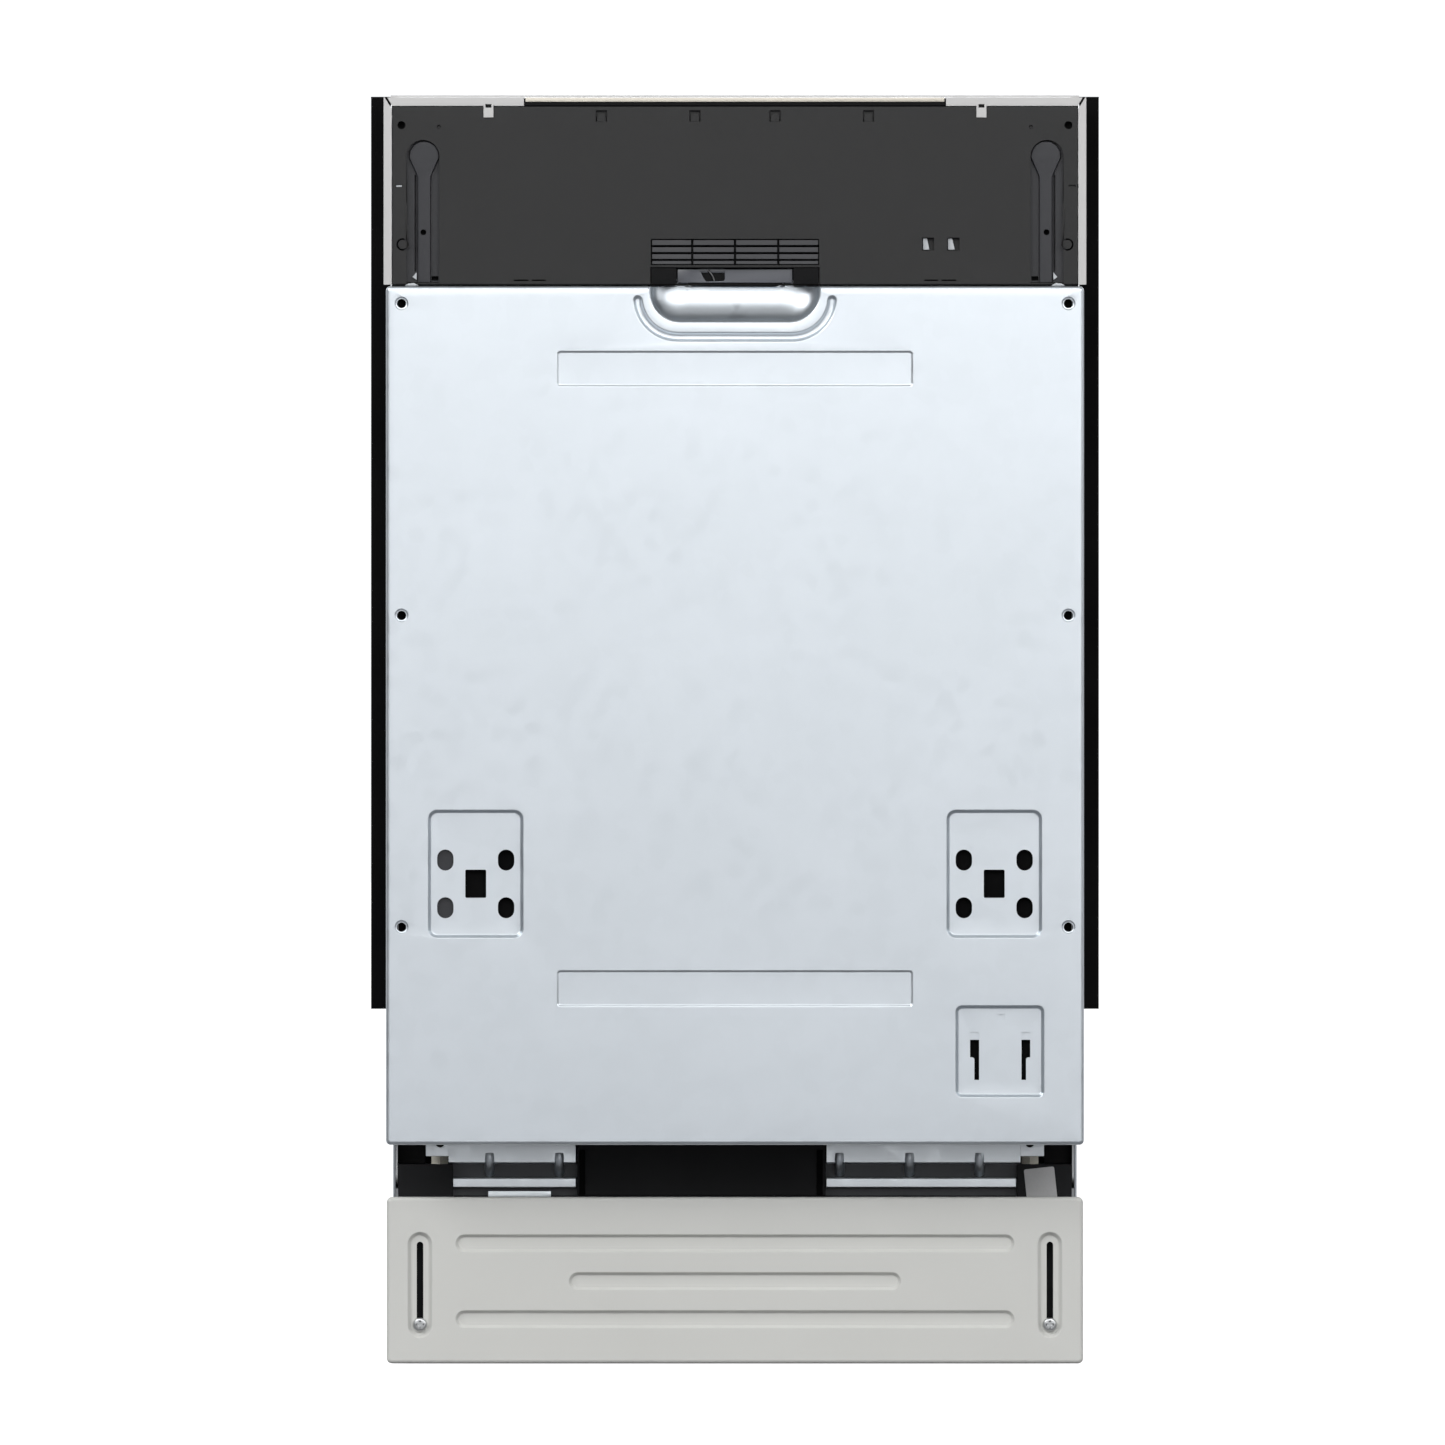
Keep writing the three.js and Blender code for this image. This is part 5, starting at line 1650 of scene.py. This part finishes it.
def surroundings():
    """White to the eye. The object sees them bright behind it and falling off to the sides
    and overhead, so that pressed edges read dark."""
    world = bpy.data.worlds.new("studio")
    bpy.context.scene.world = world
    world.use_nodes = True
    tree = world.node_tree
    background = tree.nodes["Background"]
    background.inputs["Color"].default_value = (0.97, 0.985, 1.0, 1)
    direction = tree.nodes.new("ShaderNodeTexCoord").outputs["Generated"]
    split = tree.nodes.new("ShaderNodeSeparateXYZ")
    tree.links.new(direction, split.inputs["Vector"])
    across = math_node(tree, "ABSOLUTE", split.outputs["X"])
    aside = math_node(tree, "MAXIMUM", across, split.outputs["Z"])
    ahead = ranged(tree, aside, 0.56, 0.16, (0.15, 0.8))
    behind = ranged(tree, split.outputs["Y"], 0, 0.75, (0.05, 0.5))
    lit = math_node(tree, "MAXIMUM", ahead, behind)
    seen = tree.nodes.new("ShaderNodeLightPath").outputs["Is Camera Ray"]
    white = ranged(tree, seen, 0, 1.06, (0, 1))
    tree.links.new(math_node(tree, "MAXIMUM", lit, white), background.inputs["Strength"])


def pale_floor():
    """White to the eye; to the object it gives back little in front of the door and more
    round the sides and the back."""
    material, tree, shader, place = new_material("backdrop")
    shader.inputs["Roughness"].default_value = 0.9
    shader.inputs["Specular IOR Level"].default_value = 0.1
    shader.inputs["Emission Color"].default_value = (1, 1, 1, 1)
    seen = tree.nodes.new("ShaderNodeLightPath").outputs["Is Camera Ray"]
    split = tree.nodes.new("ShaderNodeSeparateXYZ")
    tree.links.new(place, split.inputs["Vector"])
    behind = ranged(tree, split.outputs["Y"], 0, 1, (-0.3, 0.3))
    given = blended(tree, behind, (0.20, 0.20, 0.21), (0.85, 0.85, 0.86))
    tint = blended(tree, seen, given, (0.93, 0.93, 0.93))
    tree.links.new(tint, shader.inputs["Base Color"])
    glow = ranged(tree, seen, 0, 0.9, (0, 1))
    tree.links.new(glow, shader.inputs["Emission Strength"])
    return material


def studio():
    surroundings()
    area_light("overhead", (0, -0.8, 3.2), (0, -0.3, 0.4), (4.0, 2.4), 0.4)
    area_light("front", (1.2, -6.2, 1.9), (0, 0, 0.5), (3.8, 2.4), 0.92)
    area_light("key", (0.5, -3.0, 1.8), (0, -0.3, 0.55), (4.0, 1.5), 3.0)
    area_light("low", (1.0, -5.2, 0.19), (0.1, 0, 0.19), (4.4, 0.34), 1.3)
    area_light("left", (-2.6, -2.7, 2.6), (0, -0.3, 0.4), (2.0, 2.0), 6.0)
    area_light("right", (3.4, -1.6, 1.4), (0, 0, 0.4), (1.8, 1.8), 1.6)
    area_light("back_left", (-3.2, 3.0, 2.4), (0, 0.2, 0.4), (2.4, 2.4), 1.7)
    area_light("back_right", (3.2, 3.0, 2.4), (0, 0.2, 0.4), (2.4, 2.4), 1.4)

    bm = bmesh.new()
    corners = [(-60, -60), (60, -60), (60, 60), (-60, 60)]
    bm.faces.new([bm.verts.new((x, y, -0.0005)) for x, y in corners])
    floor = object_of("floor", bm)
    floor.data.materials.append(pale_floor())
    bpy.context.scene.view_settings.view_transform = "Standard"


# ------------------------------------------------------------------ the whole
camera()
studio()
door_panel()
control_face()
handle_housing()
vent_grille()
fascia_back()
hook_insert(-1)
hook_insert(1)
door_backing()
handle_flap()
latch_strap()
half_round_clips()
window_clips()
top_tabs()
inner_door()
door_lips()
lip_backing()
strip_trim()
plinth()
cross_screw("plinth_screw_head_left", "plinth_screw_left")
cross_screw("plinth_screw_head_right", "plinth_screw_right")
crossbar()
crossbar_ears()
crossbar_ribs()
base_shade_and_highlights()
tower_label()
for side in (-1, 1):
    side_sheet(side)
    strip_profile(side)
back_sheet()
tub_shell()
felt_mat()
lower_rack()
upper_rack()
handle_bar("lower_rack")
handle_bar("upper_rack")
cup_shelf()
cutlery_basket()
cutlery_handle()
spray_arm("lower_spray_arm", 186, 199)
spray_arm("upper_spray_arm", 512, 524)
filter_mesh()
tub_rollers()
keep_cad_pieces()
